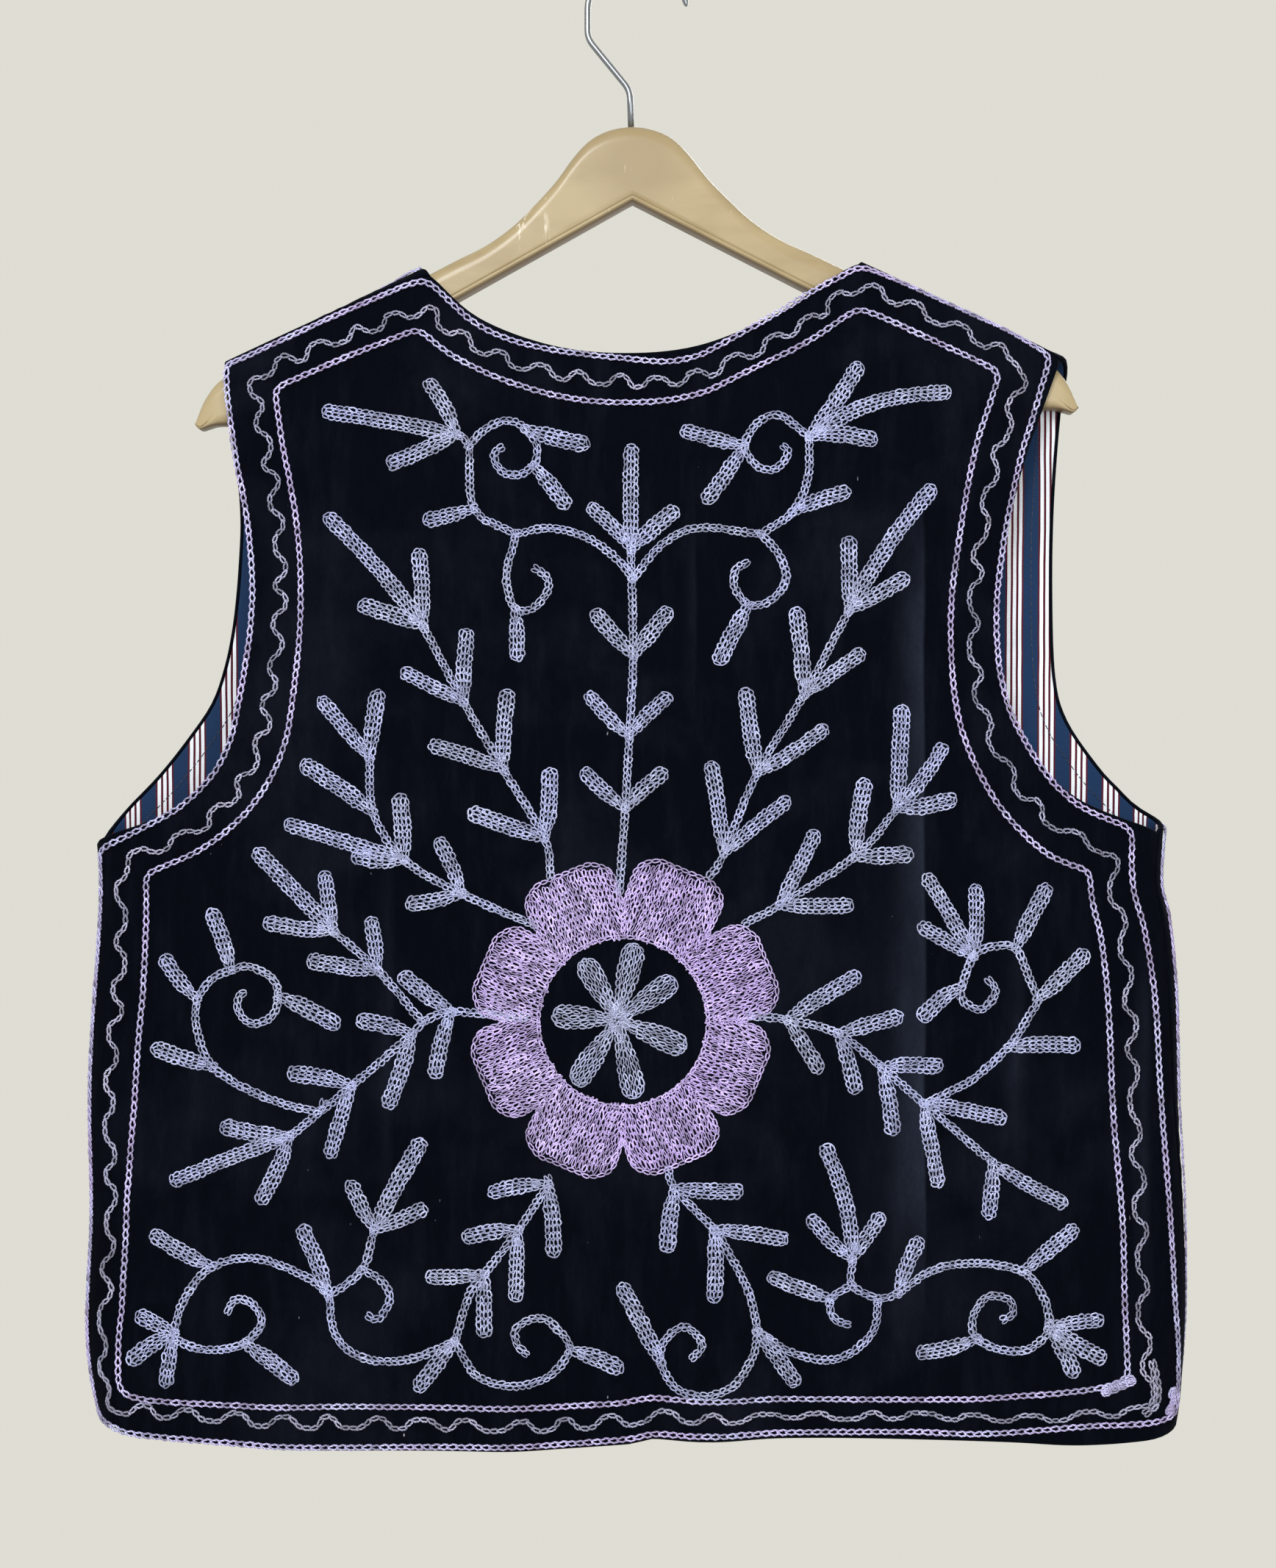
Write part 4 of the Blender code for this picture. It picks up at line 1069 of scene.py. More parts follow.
def velvet_finish(name, bands):
    """Deep navy velvet with painted sheen, a lighter pile colour, along its creases."""
    sizes = bpy.context.scene.vest_cloth
    material, tree, shader, place, _ = new_finish(name)
    x, _, z = parts_of(tree, place)
    ragged = noise(tree, place, 34.0, 3.0, 0.6, (1.0, 1.0, 0.35))
    wander = times_plus(tree, ragged, 0.005, -0.0025)
    # Painted sheen: bands of lighter pile colour along the creases, where the velvet catches the
    # light.
    sheen_bands = None
    for band in bands:
        away = maths(tree, "SUBTRACT", maths(tree, "ADD", x, wander), band.across)
        rise = ranged(tree, away, -band.left, 0.0)
        fall = ranged(tree, away, band.right, 0.0, 0.0, band.strength)
        bell = times(tree, times(tree, rise, rise), fall)
        ends = times(tree, ranged(tree, z, band.bottom, band.bottom + 0.07),
                     ranged(tree, z, band.top, band.top - 0.07))
        mark = times(tree, bell, ends)
        sheen_bands = mark if sheen_bands is None else maths(tree, "ADD", sheen_bands, mark)
    patches = tone_drift(tree, place, 9.0, 1.1)
    streaks = noise(tree, place, 70.0, 4.0, 0.65, (1.0, 1.0, 0.22))
    haze = times(tree, ranged(tree, patches, 0.45, 1.0), 0.16)
    fleck = times(tree, ranged(tree, streaks, 0.5, 0.75), 0.13)
    base = maths(tree, "ADD", haze, fleck)
    mottled_sheen = times(tree, sheen_bands, ranged(tree, ragged, 0.25, 0.7, 0.35, 1.0))
    nap_and_sheen = result(tree, "ShaderNodeClamp", maths(tree, "ADD", base, mottled_sheen))
    grain = fibre_grain(tree, place, 1100.0, 0.35)
    shade = blended(tree, nap_and_sheen, sizes.velvet, sizes.nap_and_sheen)
    dark = ranged(tree, grain, 0.5, 1.1, 0.72, 1.12)
    coloured = blended(tree, 1.0, shade, dark, "MULTIPLY")
    lint = noise(tree, place, 430.0, 1.0, 0.4, (1.0, 1.0, 0.45))
    coloured = blended(tree, ranged(tree, lint, 0.83, 0.87), coloured, (0.20, 0.20, 0.23))
    feed_all(tree, shader, Base_Color=coloured, Roughness=ranged(tree, nap_and_sheen, 0.0, 1.0, 0.95, 0.8),
             Specular_IOR_Level=0.03, Sheen_Weight=0.02, Sheen_Roughness=0.38,
             Sheen_Tint=(0.55, 0.60, 0.90, 1.0))
    bump(tree, shader, grain, 0.45, 0.0006)
    return material


def yarn_finish(name, main, second, lift=1.0):
    """Soft twisted yarn whose tone changes from stitch to stitch and along its length."""
    material, tree, shader, place, strand = new_finish(name)
    stitch = add_node(tree, "ShaderNodeAttribute", attribute_name="tone").outputs["Fac"]
    drift = tone_drift(tree, place, 16.0, 1.5)
    hue = times_plus(tree, stitch, 0.35, times(tree, drift, 0.75))
    shade = blended(tree, hue, main, second)
    twist = use_group(tree, "Ply twist", Vector=strand, Turns=8.0, Plies=2.0)["Height"]
    fuzz = fibre_grain(tree, place, 2600.0, 1.0)
    light = ranged(tree, stitch, 0.0, 1.0, 0.58 * lift, 1.46 * lift)
    # Painted shade: the yarn darkens in the grooves between its twisted plies.
    painted_groove_shade = ranged(tree, twist, 0.0, 0.7, 0.30, 1.05)
    speck = ranged(tree, fuzz, 0.45, 1.15, 0.78, 1.14)
    level = times(tree, times(tree, light, painted_groove_shade), speck)
    feed_all(tree, shader, Base_Color=blended(tree, 1.0, shade, level, "MULTIPLY"),
             Roughness=0.52, Specular_IOR_Level=0.60, Sheen_Weight=0.12, Sheen_Roughness=0.5,
             Sheen_Tint=(0.90, 0.88, 1.0, 1.0))
    bump(tree, shader, times_plus(tree, fuzz, 0.35, twist), 0.8, 0.0003)
    return material


def lining_finish(name):
    """Striped cotton: groups of white stripes edged in dark red on navy."""
    sizes = bpy.context.scene.vest_cloth
    material, tree, shader, place, pattern = new_finish(name)
    drawn = noise(tree, pattern, 26.0)
    across = times_plus(tree, drawn, 0.0009, parts_of(tree, pattern)[0])
    repeat = maths(tree, "FRACT", maths(tree, "DIVIDE", across, sizes.stripe_period))
    ramp = add_node(tree, "ShaderNodeValToRGB")
    ramp.color_ramp.interpolation = "CONSTANT"
    stops = ((0.0, sizes.stripe_navy), (0.440, sizes.stripe_red), (0.500, sizes.stripe_white),
             (0.605, sizes.stripe_red), (0.675, sizes.stripe_white), (0.777, sizes.stripe_red),
             (0.847, sizes.stripe_white), (0.945, sizes.stripe_red))
    elements = ramp.color_ramp.elements
    while len(elements) < len(stops):
        elements.new(0.5)
    for element, (at, shade) in zip(elements, stops):
        element.position = at
        element.color = (*shade, 1.0)
    tree.links.new(repeat, ramp.inputs[0])
    weave = use_group(tree, "Plain weave", Vector=pattern, Thread=0.00055)["Height"]
    drift = tone_drift(tree, place, 24.0, 1.0)
    # Painted shade: the stripes darken where the woven threads dip.
    threads = ranged(tree, weave, 0.0, 0.8, 0.80, 1.04)
    level = times(tree, threads, ranged(tree, drift, 0.0, 1.0, 0.86, 1.08))
    feed_all(tree, shader, Base_Color=blended(tree, 1.0, ramp.outputs[0], level, "MULTIPLY"),
             Roughness=ranged(tree, drift, 0.0, 1.0, 0.72, 0.86), Specular_IOR_Level=0.15)
    crumple = noise(tree, place, 90.0, 3.0, 0.55, (1.0, 1.0, 0.5))
    bump(tree, shader, times_plus(tree, crumple, 4.0, weave), 0.5, 0.0003)
    return material


def moulding_finish(name):
    """Glossy tan moulding with drawn streaks, a dull bloom and a few scuffs."""
    sizes = bpy.context.scene.vest_hanger
    material, tree, shader, place, _ = new_finish(name)
    streaks = noise(tree, place, 18.0, 4.0, 0.6, (0.6, 4.0, 2.2))
    drift = tone_drift(tree, place, 11.0, 0.9)
    mix = times_plus(tree, drift, 0.35, ranged(tree, streaks, 0.42, 0.68, 0.0, 0.6))
    shade = blended(tree, mix, sizes.moulding, sizes.moulding_streaks_and_shade)
    # Painted shade: the moulding darkens round a spot near the top of its hump.
    painted_crown_shade = ranged(tree, distance_from(tree, place, HANGER_PAINTED_SHADE), 0.034, 0.012, 0.0, 0.80)
    shade = blended(tree, painted_crown_shade, shade, sizes.moulding_streaks_and_shade)
    rubbed = ranged(tree, distance_from(tree, place, HANGER_RUBBED), 0.013, 0.006)
    strokes = ranged(tree, noise(tree, place, 210.0, 3.0, 0.6, (1.0, 1.0, 0.22)), 0.56, 0.66)
    shade = blended(tree, times(tree, rubbed, strokes), shade, (0.66, 0.62, 0.54))
    marks = use_group(tree, "Scuffs", Vector=place, Scale=85.0, Amount=0.55)
    pale = blended(tree, times(tree, marks["Scratches"], 0.55), shade, (0.80, 0.72, 0.56))
    # Painted shade: faces that point downwards take the darker underside colour.
    facing = add_node(tree, "ShaderNodeNewGeometry").outputs["Normal"]
    below = ranged(tree, parts_of(tree, facing)[2], -0.55, -0.85)
    pale = blended(tree, below, pale, sizes.moulding_under_shade)
    worn = times_plus(tree, marks["Scratches"], 0.3,
                 times(tree, marks["Dullness"], 0.16))
    feed_all(tree, shader, Base_Color=pale, Roughness=maths(tree, "ADD", worn, 0.36),
             Specular_IOR_Level=0.26, Coat_Weight=0.14, Coat_Roughness=0.18)
    skin = fibre_grain(tree, place, 150.0, 1.0)
    bump(tree, shader, times_plus(tree, marks["Scratches"], -0.5, skin), 0.05, 0.0008)
    return material


def wire_finish(name):
    """Bright drawn steel with fine marks."""
    sizes = bpy.context.scene.vest_hanger
    material, tree, shader, place, _ = new_finish(name)
    marks = use_group(tree, "Scuffs", Vector=place, Scale=260.0, Amount=0.25)
    drift = tone_drift(tree, place, 60.0, 1.0)
    shade = blended(tree, times(tree, drift, 0.5), sizes.wire, (0.17, 0.18, 0.20))
    rough = times_plus(tree, marks["Dullness"], 0.2, 0.30)
    rough = times_plus(tree, marks["Scratches"], 0.2, rough)
    feed_all(tree, shader, Base_Color=shade, Metallic=1.0, Roughness=rough)
    bump(tree, shader, noise(tree, place, 420.0, 2.0, 0.5, (1.0, 1.0, 0.2)), 0.02, 0.0004)
    return material


def floor_finish(name):
    """Pale matt floor."""
    material, tree, shader, place, _ = new_finish(name)
    drift = tone_drift(tree, place, 1.5, 0.4)
    pale = bpy.context.scene.vest_stage.floor
    feed_all(tree, shader, Roughness=0.9,
             Base_Color=blended(tree, drift, pale, [0.96 * part for part in pale]))
    return material


# ---- stitches -----------------------------------------------------------------------------------
# One link of chain stitch from its narrow foot round its wide end: the share of its length, of
# half its width, and its height in strands.  The other half mirrors it.
LINK_COARSE = ((-0.06, 0.20, 0.75), (0.40, 0.85, 0.72), (0.82, 0.92, 0.52), (1.10, 0.30, 0.40))
LINK_FINE = ((-0.08, 0.16, 0.75), (0.22, 0.62, 0.78), (0.62, 1.00, 0.64), (0.98, 0.72, 0.46),
             (1.14, 0.20, 0.40))


def strand_mesh(name, path, closed, radius, sides):
    """A strand along a path, with a UV map along and round it."""
    path = np.array(path, float)
    count = len(path)
    run = np.roll(path, -1, 0) - np.roll(path, 1, 0) if closed else np.gradient(path, axis=0)
    run = unit_rows(run)
    aside = unit_rows(np.cross(run, (0.0, 0.0, 1.0)))
    above = np.cross(aside, run)
    work = bmesh.new()
    rings = []
    for i in range(count):
        ring = []
        for k in range(sides):
            turn = 2 * pi * (k + 0.5) / sides + (pi / 6 if sides == 3 else 0.0)
            thin = 1.0 if closed or 0 < i < count - 1 else 0.45
            offset = aside[i] * cos(turn) + above[i] * sin(turn)
            ring.append(work.verts.new(path[i] + thin * radius * offset))
        rings.append(ring)
    layer = work.loops.layers.uv.new("strand")
    for i in range(count if closed else count - 1):
        for k in range(sides):
            j, m = (i + 1) % count, (k + 1) % sides
            quad = work.faces.new((rings[i][k], rings[i][m], rings[j][m], rings[j][k]))
            ends = ((i, k), (i, k + 1), (i + 1, k + 1), (i + 1, k))
            for loop, (along, round_it) in zip(quad.loops, ends):
                loop[layer].uv = (along / count, round_it / sides)
    if not closed:
        work.faces.new(rings[0][::-1])
        work.faces.new(rings[-1])
    return finished_mesh(work, name)


def link_object(name, half_path, long, wide, strand, sides):
    """One link of chain stitch, its middle at the origin and its length along X."""
    half = [((x - 0.5) * long, y * (wide - strand) / 2, z * strand) for x, y, z in half_path]
    path = half + [(x, -y, z) for x, y, z in reversed(half)]
    return bpy.data.objects.new(name, strand_mesh(name, path, True, strand / 2, sides))


def running_object(name, long, strand):
    """One short straight running stitch along X, its ends dipping into the cloth."""
    path = [(0.0, 0.0, -0.3 * strand), (0.12 * long, 0.0, 0.25 * strand),
            (0.5 * long, 0.0, 0.42 * strand), (0.88 * long, 0.0, 0.25 * strand),
            (long, 0.0, -0.3 * strand)]
    return bpy.data.objects.new(name, strand_mesh(name, path, False, strand / 2, 3))


def make_stitch_tree():
    """Geometry nodes that lay one stitch after another along guide lines."""
    tree = bpy.data.node_groups.new("Laid stitches", "GeometryNodeTree")
    for title, kind in (("Guides", "NodeSocketGeometry"), ("Stitch", "NodeSocketObject"),
                        ("Stitch length", "NodeSocketFloat"), ("Wander", "NodeSocketFloat"),
                        ("Unevenness", "NodeSocketFloat"), ("Seed", "NodeSocketInt"),
                        ("Yarn", "NodeSocketMaterial")):
        tree.interface.new_socket(name=title, in_out="INPUT", socket_type=kind)
    tree.interface.new_socket(name="Stitches", in_out="OUTPUT", socket_type="NodeSocketGeometry")
    start, end = add_node(tree, "NodeGroupInput"), add_node(tree, "NodeGroupOutput")
    given = start.outputs

    def chance(low, high, shift):
        node = add_node(tree, "FunctionNodeRandomValue", data_type="FLOAT")
        for socket, value in ((2, low), (3, high), (8, maths(tree, "ADD", given["Seed"], shift))):
            feed(tree, node.inputs[socket], value)
        return node.outputs[1]

    def noted(name, kind):
        node = add_node(tree, "GeometryNodeInputNamedAttribute", data_type=kind)
        node.inputs["Name"].default_value = name
        return node.outputs["Attribute"]

    curve = result(tree, "GeometryNodeMeshToCurve", given["Guides"])
    spots = add_node(tree, "GeometryNodeCurveToPoints", mode="LENGTH")
    feed_all(tree, spots, Curve=curve, Length=given["Stitch length"])
    turn = add_node(tree, "FunctionNodeAxesToRotation", primary_axis="Z", secondary_axis="X")
    feed_all(tree, turn, Primary_Axis=noted("out", "FLOAT_VECTOR"),
             Secondary_Axis=spots.outputs["Tangent"])
    sway = times(tree, chance(-1.0, 1.0, 11), given["Wander"])
    roll = times(tree, chance(-1.0, 1.0, 12), given["Wander"])
    angles = result(tree, "ShaderNodeCombineXYZ", roll, 0.0, sway)
    turned = result(tree, "FunctionNodeRotateRotation", turn.outputs[0],
                    result(tree, "FunctionNodeEulerToRotation", angles), rotation_space="LOCAL")
    size = []
    for k in range(3):
        spread = times(tree, chance(-1.0, 1.0, 21 + k), given["Unevenness"])
        size.append(maths(tree, "ADD", spread, 1.0))
    size[1] = times(tree, size[1], noted("snug", "FLOAT"))
    stitch = add_node(tree, "GeometryNodeObjectInfo")
    tree.links.new(given["Stitch"], stitch.inputs["Object"])
    laid = add_node(tree, "GeometryNodeInstanceOnPoints")
    feed_all(tree, laid, Points=spots.outputs["Points"], Instance=stitch.outputs["Geometry"],
             Rotation=turned, Scale=result(tree, "ShaderNodeCombineXYZ", *size))
    tone = add_node(tree, "GeometryNodeStoreNamedAttribute", data_type="FLOAT", domain="INSTANCE")
    feed_all(tree, tone, Name="tone", Geometry=laid.outputs[0], Value=chance(0.0, 1.0, 31))
    real = result(tree, "GeometryNodeRealizeInstances", tone.outputs[0])
    dyed = add_node(tree, "GeometryNodeSetMaterial")
    feed_all(tree, dyed, Geometry=result(tree, "GeometryNodeSetShadeSmooth", real),
             Material=given["Yarn"])
    tree.links.new(dyed.outputs[0], end.inputs[0])


# A line of stitches: where it runs in the pattern, whether it closes on itself and how wide its
# links are at each point.
Guide = namedtuple("Guide", "places closed snug")


def guide(places, closed=False, snug=1.0):
    """A guide from places in the pattern."""
    places = np.asarray(places, float)
    return Guide(places, closed, np.broadcast_to(np.asarray(snug, float), len(places)))


def lay_stitches(name, panel, slot, guides, stitch, spacing, yarn, seed, lift=0.0, depth=0.0,
                 wander=0.10, uneven=0.08):
    """One piece of stitches along guides on a panel, as a plain mesh.

    lift raises them above the outer face, and depth puts them under the inner one.
    """
    face = BACK if panel == "back" else FRONT
    points, edges, outs = [], [], []
    first = 0
    for item in guides:
        out, count = outward(face, item.places), len(item.places)
        points.append(cloth_points(face, item.places) + (lift - depth) * out)
        outs.append(-out if depth > 0 else out)
        edges += [(first + i, first + i + 1) for i in range(count - 1)]
        if item.closed:
            edges.append((first + count - 1, first))
        first += count
    mesh = bpy.data.meshes.new(name)
    mesh.from_pydata(np.vstack(points).tolist(), edges, [])
    mesh.attributes.new("out", "FLOAT_VECTOR", "POINT").data.foreach_set(
        "vector", np.vstack(outs).ravel().astype(np.float32))
    mesh.attributes.new("snug", "FLOAT", "POINT").data.foreach_set(
        "value", np.concatenate([item.snug for item in guides]).astype(np.float32))
    piece = add_object(name, mesh)
    modifier = piece.modifiers.new("Laid stitches", "NODES")
    modifier.node_group = bpy.data.node_groups["Laid stitches"]
    values = {"Stitch": stitch, "Stitch length": spacing, "Wander": wander,
              "Unevenness": uneven, "Seed": seed, "Yarn": bpy.data.materials[yarn]}
    for socket in modifier.node_group.interface.items_tree:
        if socket.in_out == "INPUT" and socket.name in values:
            modifier[socket.identifier] = values[socket.name]
    piece.update_tag()
    graph = bpy.context.evaluated_depsgraph_get()
    made = bpy.data.meshes.new_from_object(piece.evaluated_get(graph))
    piece.modifiers.clear()
    piece.data = made
    made.name = name
    for spare in ("out", "snug"):
        if spare in made.attributes:
            made.attributes.remove(made.attributes[spare])
    bpy.data.meshes.remove(mesh)
    if not len(made.polygons):
        raise RuntimeError(name + " came out empty")
    keep(piece, slot)
    STITCHES[slot == "lining"][panel].append(piece)


# ---- borders ------------------------------------------------------------------------------------
def inset_line(stretches, insets, row):
    """A closed line that keeps the insets' distance from each edge, with eased corners."""
    places, goals, into = [], [], []
    outline = closed_outline(stretches)
    for stretch, table in zip(stretches, insets):
        share = np.linspace(0, 1, len(stretch))
        table = np.array([(item.at, item[row]) for item in table])
        goals.append(np.interp(share, table[:, 0], table[:, 1])[:-1])
        places.append(stretch[:-1])
        into.append(left_of(unit_rows(np.gradient(stretch, axis=0)))[:-1])
    places, goals, into = np.vstack(places), np.concatenate(goals), np.vstack(into)
    raw = places + goals[:, None] * into
    gaps = np.linalg.norm(raw[:, None, :] - outline[None, :, :], axis=2)
    kept = (gaps > goals[None, :] - 0.00035).all(1)
    line = resampled(raw[kept], BORDER_PITCH, True)
    for _ in range(10):
        line = 0.5 * line + 0.25 * (np.roll(line, 1, 0) + np.roll(line, -1, 0))
    return line


def waved(line, rise, period, seed):
    """A closed line that swings from side to side in uneven waves."""
    line = resampled(line, WAVE_PITCH, True)
    chance = np.random.default_rng(seed)
    slow, rises = np.ones(len(line)), np.ones(len(line))
    for zone in WAVE_ZONES:
        here = ((line[:, 0] > zone.left) & (line[:, 0] < zone.right)
                & (line[:, 1] > zone.low) & (line[:, 1] < zone.high))
        slow[here], rises[here] = 1 / zone.longer, zone.rise
    for _ in range(12):
        rises = (rises + np.roll(rises, 1) + np.roll(rises, -1)) / 3
    spent = np.concatenate([[0.0], np.cumsum(slow)[:-1]]) / slow.sum()
    waves = max(4, round(slow.sum() * WAVE_PITCH / period))
    knots = np.linspace(0, 1, waves * 2 + 1)
    knots[1:-1] += chance.uniform(-0.13, 0.13, len(knots) - 2) / waves / 1.2
    phase = np.interp(spent, knots, np.arange(len(knots)) * pi)
    swing = np.interp(spent, knots, chance.uniform(0.72, 1.18, len(knots)))
    square = left_of(unit_rows(np.roll(line, -3, 0) - np.roll(line, 3, 0)))
    shape = np.sin(phase) + 0.14 * np.sin(3 * phase)
    return line + (rise * rises * swing * shape)[:, None] * square


def keep(piece, slot, *nodes):
    """Put a finished piece on the one body and hide the CAD parts it stands in for; the slot given
    is not used.
    """
    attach(piece, "root")
    if nodes:
        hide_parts(*nodes)


# ---- sprays and the rosette ---------------------------------------------------------------------
def seen_place(spots):
    """Places as seen, from millimetres about the middle of the rosette."""
    return np.array(spots, float) / 1000 + ROSETTE_MIDDLE


def offset_line(line, distance):
    """An open line moved sideways by a distance that may change along it."""
    square = left_of(unit_rows(np.gradient(line, axis=0)))
    return line + np.broadcast_to(distance, len(line))[:, None] * square


def held_back(line, distance):
    """An open line without the last stretch of it."""
    reach = distances_along(line)
    goal = max(reach[-1] - distance, reach[-1] * 0.3)
    kept = line[reach < goal]
    last = np.array([[np.interp(goal, reach, line[:, k]) for k in (0, 1)]])
    return np.vstack([kept, last])


def square_pair(ahead):
    """A direction and the one to its left."""
    return np.asarray(ahead), np.array((-ahead[1], ahead[0]))


def lobe_outline(spine, half, taper, ahead, aside, steps, skip=0):
    """A line up one side of a lobe, round its tip and down the other side."""
    left = offset_line(spine, half * taper)
    right = offset_line(spine, -half * taper)
    cap = [spine[-1] + half * (cos(turn) * aside + sin(turn) * ahead)
           for turn in np.linspace(0, pi, steps)[1:-1]]
    return np.vstack([left[skip:], cap, right[skip:][::-1]])


def leaf_guides(start, heading, size, bend, wide, sizes):
    """An outline chain up one side of a leaf, round its tip and down, and two rows inside."""
    ahead, aside = square_pair((cos(radians(heading)), sin(radians(heading))))
    half = sizes.leaf_width * wide / 2
    share = np.linspace(0, 1, max(6, round(size / SPRAY_PITCH)))
    bow = bend * np.sin(share * pi)
    spine = start + (share * (size - half))[:, None] * ahead + bow[:, None] * aside
    taper = 0.42 + 0.58 * smooth_step(share * size / 0.014)
    guides = [lobe_outline(spine, half, taper, ahead, aside, 9)]
    for row in (-1, 1):
        inner = offset_line(spine, row * half / 3 * taper)
        guides.append(held_back(inner[3:], 0.0004))
    return guides


def spray_guides(sprays, origin, mirror, sizes, seed):
    """Guides of stems and leaves, as seen."""
    chance = np.random.default_rng(seed)
    stems, leaves = [], []
    for item in sprays:
        corners = np.array(item.stem, float) * (mirror, 1) / 1000 + origin
        line = resampled(smooth_curve(corners, SPRAY_PITCH), SPRAY_PITCH)
        for row in (-1, 1):
            stems.append(held_back(offset_line(line, row * sizes.stem_width / 2), 0.002))
        for leaf in item.leaves:
            heading = leaf.heading if mirror > 0 else 180 - leaf.heading
            leaves += leaf_guides(corners[leaf.corner], heading, leaf.length / 1000,
                                  chance.uniform(-0.0012, 0.0012) + mirror * leaf.bow / 1000,
                                  chance.uniform(0.86, 1.08), sizes)
    return stems, leaves


# The ring inside the petals, how far they reach, half the width of each, and how much further
# each one reaches than the usual, from the right upper one round.
RING_REACH = 0.0430
PETAL_REACH = 0.0787
PETAL_FOOT = 0.0575
PETAL_HALF_WIDTH = 0.0222
HALF_PETAL = 22.5           # half the angle that a petal takes up, in degrees
PETAL_TALLER = (0.0002, 0.0040, 0.0020, -0.0024, -0.0018, 0.0004, -0.0014, -0.0045)


def petal_rows(sizes):
    """Rows that fill the eight petals, along each petal's own axis, as seen."""
    fill, edges = [], []
    chance = np.random.default_rng(8)
    for petal in range(8):
        angle = radians(HALF_PETAL * (1 + 2 * petal))
        axis, aside = square_pair((cos(angle), sin(angle)))
        tall, half = PETAL_TALLER[petal], PETAL_HALF_WIDTH
        count = round(2 * half / sizes.row_gap)
        for row in range(count + 1):
            v = -half + 2 * half * row / count
            start = max(np.sqrt((RING_REACH + 0.0016) ** 2 - v * v),
                        abs(v) / tan(radians(HALF_PETAL)) + 0.0004)
            stop = PETAL_REACH - 0.0018 + tall - 0.0065 * (abs(v) / half) ** 4
            stop += chance.uniform(-0.0010, 0.0008)
            start += chance.uniform(-0.0010, 0.0010)
            line = resampled([start * axis + v * aside, stop * axis + v * aside],
                             SPRAY_PITCH)
            drift = chance.uniform(-0.0003, 0.0003, 3)
            line = offset_line(line, np.interp(np.linspace(0, 2, len(line)), (0, 1, 2), drift))
            fill.append(held_back(line, 0.0020) + ROSETTE_MIDDLE)
        outer = []
        for v in np.linspace(-1, 1, 25):
            stop = PETAL_REACH + tall - 0.0080 * abs(v) ** 6
            outer.append(stop * axis + v * (half + 0.0008) * aside)
        foot = PETAL_FOOT * axis
        reach = (half + 0.0006) * aside
        path = smooth_curve([foot - reach, *outer[::4], foot + reach], SPRAY_PITCH)
        edges.append(resampled(path, SPRAY_PITCH) + ROSETTE_MIDDLE)
    return fill, edges


STAR_TIPS = ((6, 39), (26, 21), (31, -13), (6, -38), (-24, -31), (-35, 3), (-20, 31))
STAR_HUB = (-3, 1)
STAR_HALF_WIDTH = 0.0050


def star_guides():
    """The star inside the rosette: an outline chain and three rows for each of its lobes."""
    guides = []
    hub = seen_place(STAR_HUB)
    for tip in STAR_TIPS:
        run = seen_place(tip) - hub
        size = float(np.linalg.norm(run))
        ahead, aside = square_pair(run / size)
        half = STAR_HALF_WIDTH
        share = np.linspace(0, 1, 16)
        spine = hub + (share * (size - half))[:, None] * ahead
        taper = 0.30 + 0.70 * smooth_step(share * 1.25)
        guides.append(lobe_outline(spine, half, taper, ahead, aside, 11, 1))
        for row, short in ((-1, 0.0030), (0, 0.0014), (1, 0.0030)):
            inner = hub + (share * (size - short))[:, None] * ahead
            guides.append(offset_line(inner, row * 0.0025 * taper)[2:])
    return guides


# ---- hanger and hook ----------------------------------------------------------------------------
def hanger_ring(distance, steps):
    """Ring of (depth, drop) points of the hanger at a distance from its middle."""
    top = float(table_value(HANGER_UPPER_EDGE, distance))
    tip = max(0.0, distance - HANGER_HALF_SPAN + HANGER_TIP_REACH) / HANGER_TIP_REACH
    under = HANGER_UNDER_DROP + distance * tan(HANGER_UNDER_SLOPE)
    if distance > HANGER_UNDER_TIP[0][0]:
        under = float(table_value(HANGER_UNDER_TIP, distance))
    half = HANGER_HALF_THICKNESS * (1 - 0.45 * tip ** 3)
    crown = min(HANGER_CROWN, 0.5 * (under - top))
    edge = min(float(table_value(HANGER_FACET, distance)), 0.16 * (under - top))
    bead = 0.00028 * (1 - min(1.0, max(0.0, (edge - 0.0012) / 0.001)))
    ring = [(half - 0.8 * edge, under), (half - 0.45 * edge, under - 0.25 * edge),
            (half + 0.5 * bead, under - 0.8 * edge), (half + bead, under - 1.3 * edge),
            (half, under - 1.9 * edge), (half - 1.6 * bead, under - 2.2 * edge),
            (half, under - 2.6 * edge)]
    low, high = under - 2.6 * edge, top + crown
    ring += [(half, low + share * (high - low)) for share in (0.08, 0.35, 0.65, 0.92)]
    arc = [(half * cos(turn * pi / steps), top + crown * (1 - sin(turn * pi / steps)))
           for turn in range(steps + 1)]
    return ring + arc + [(-depth, drop) for depth, drop in reversed(ring)]


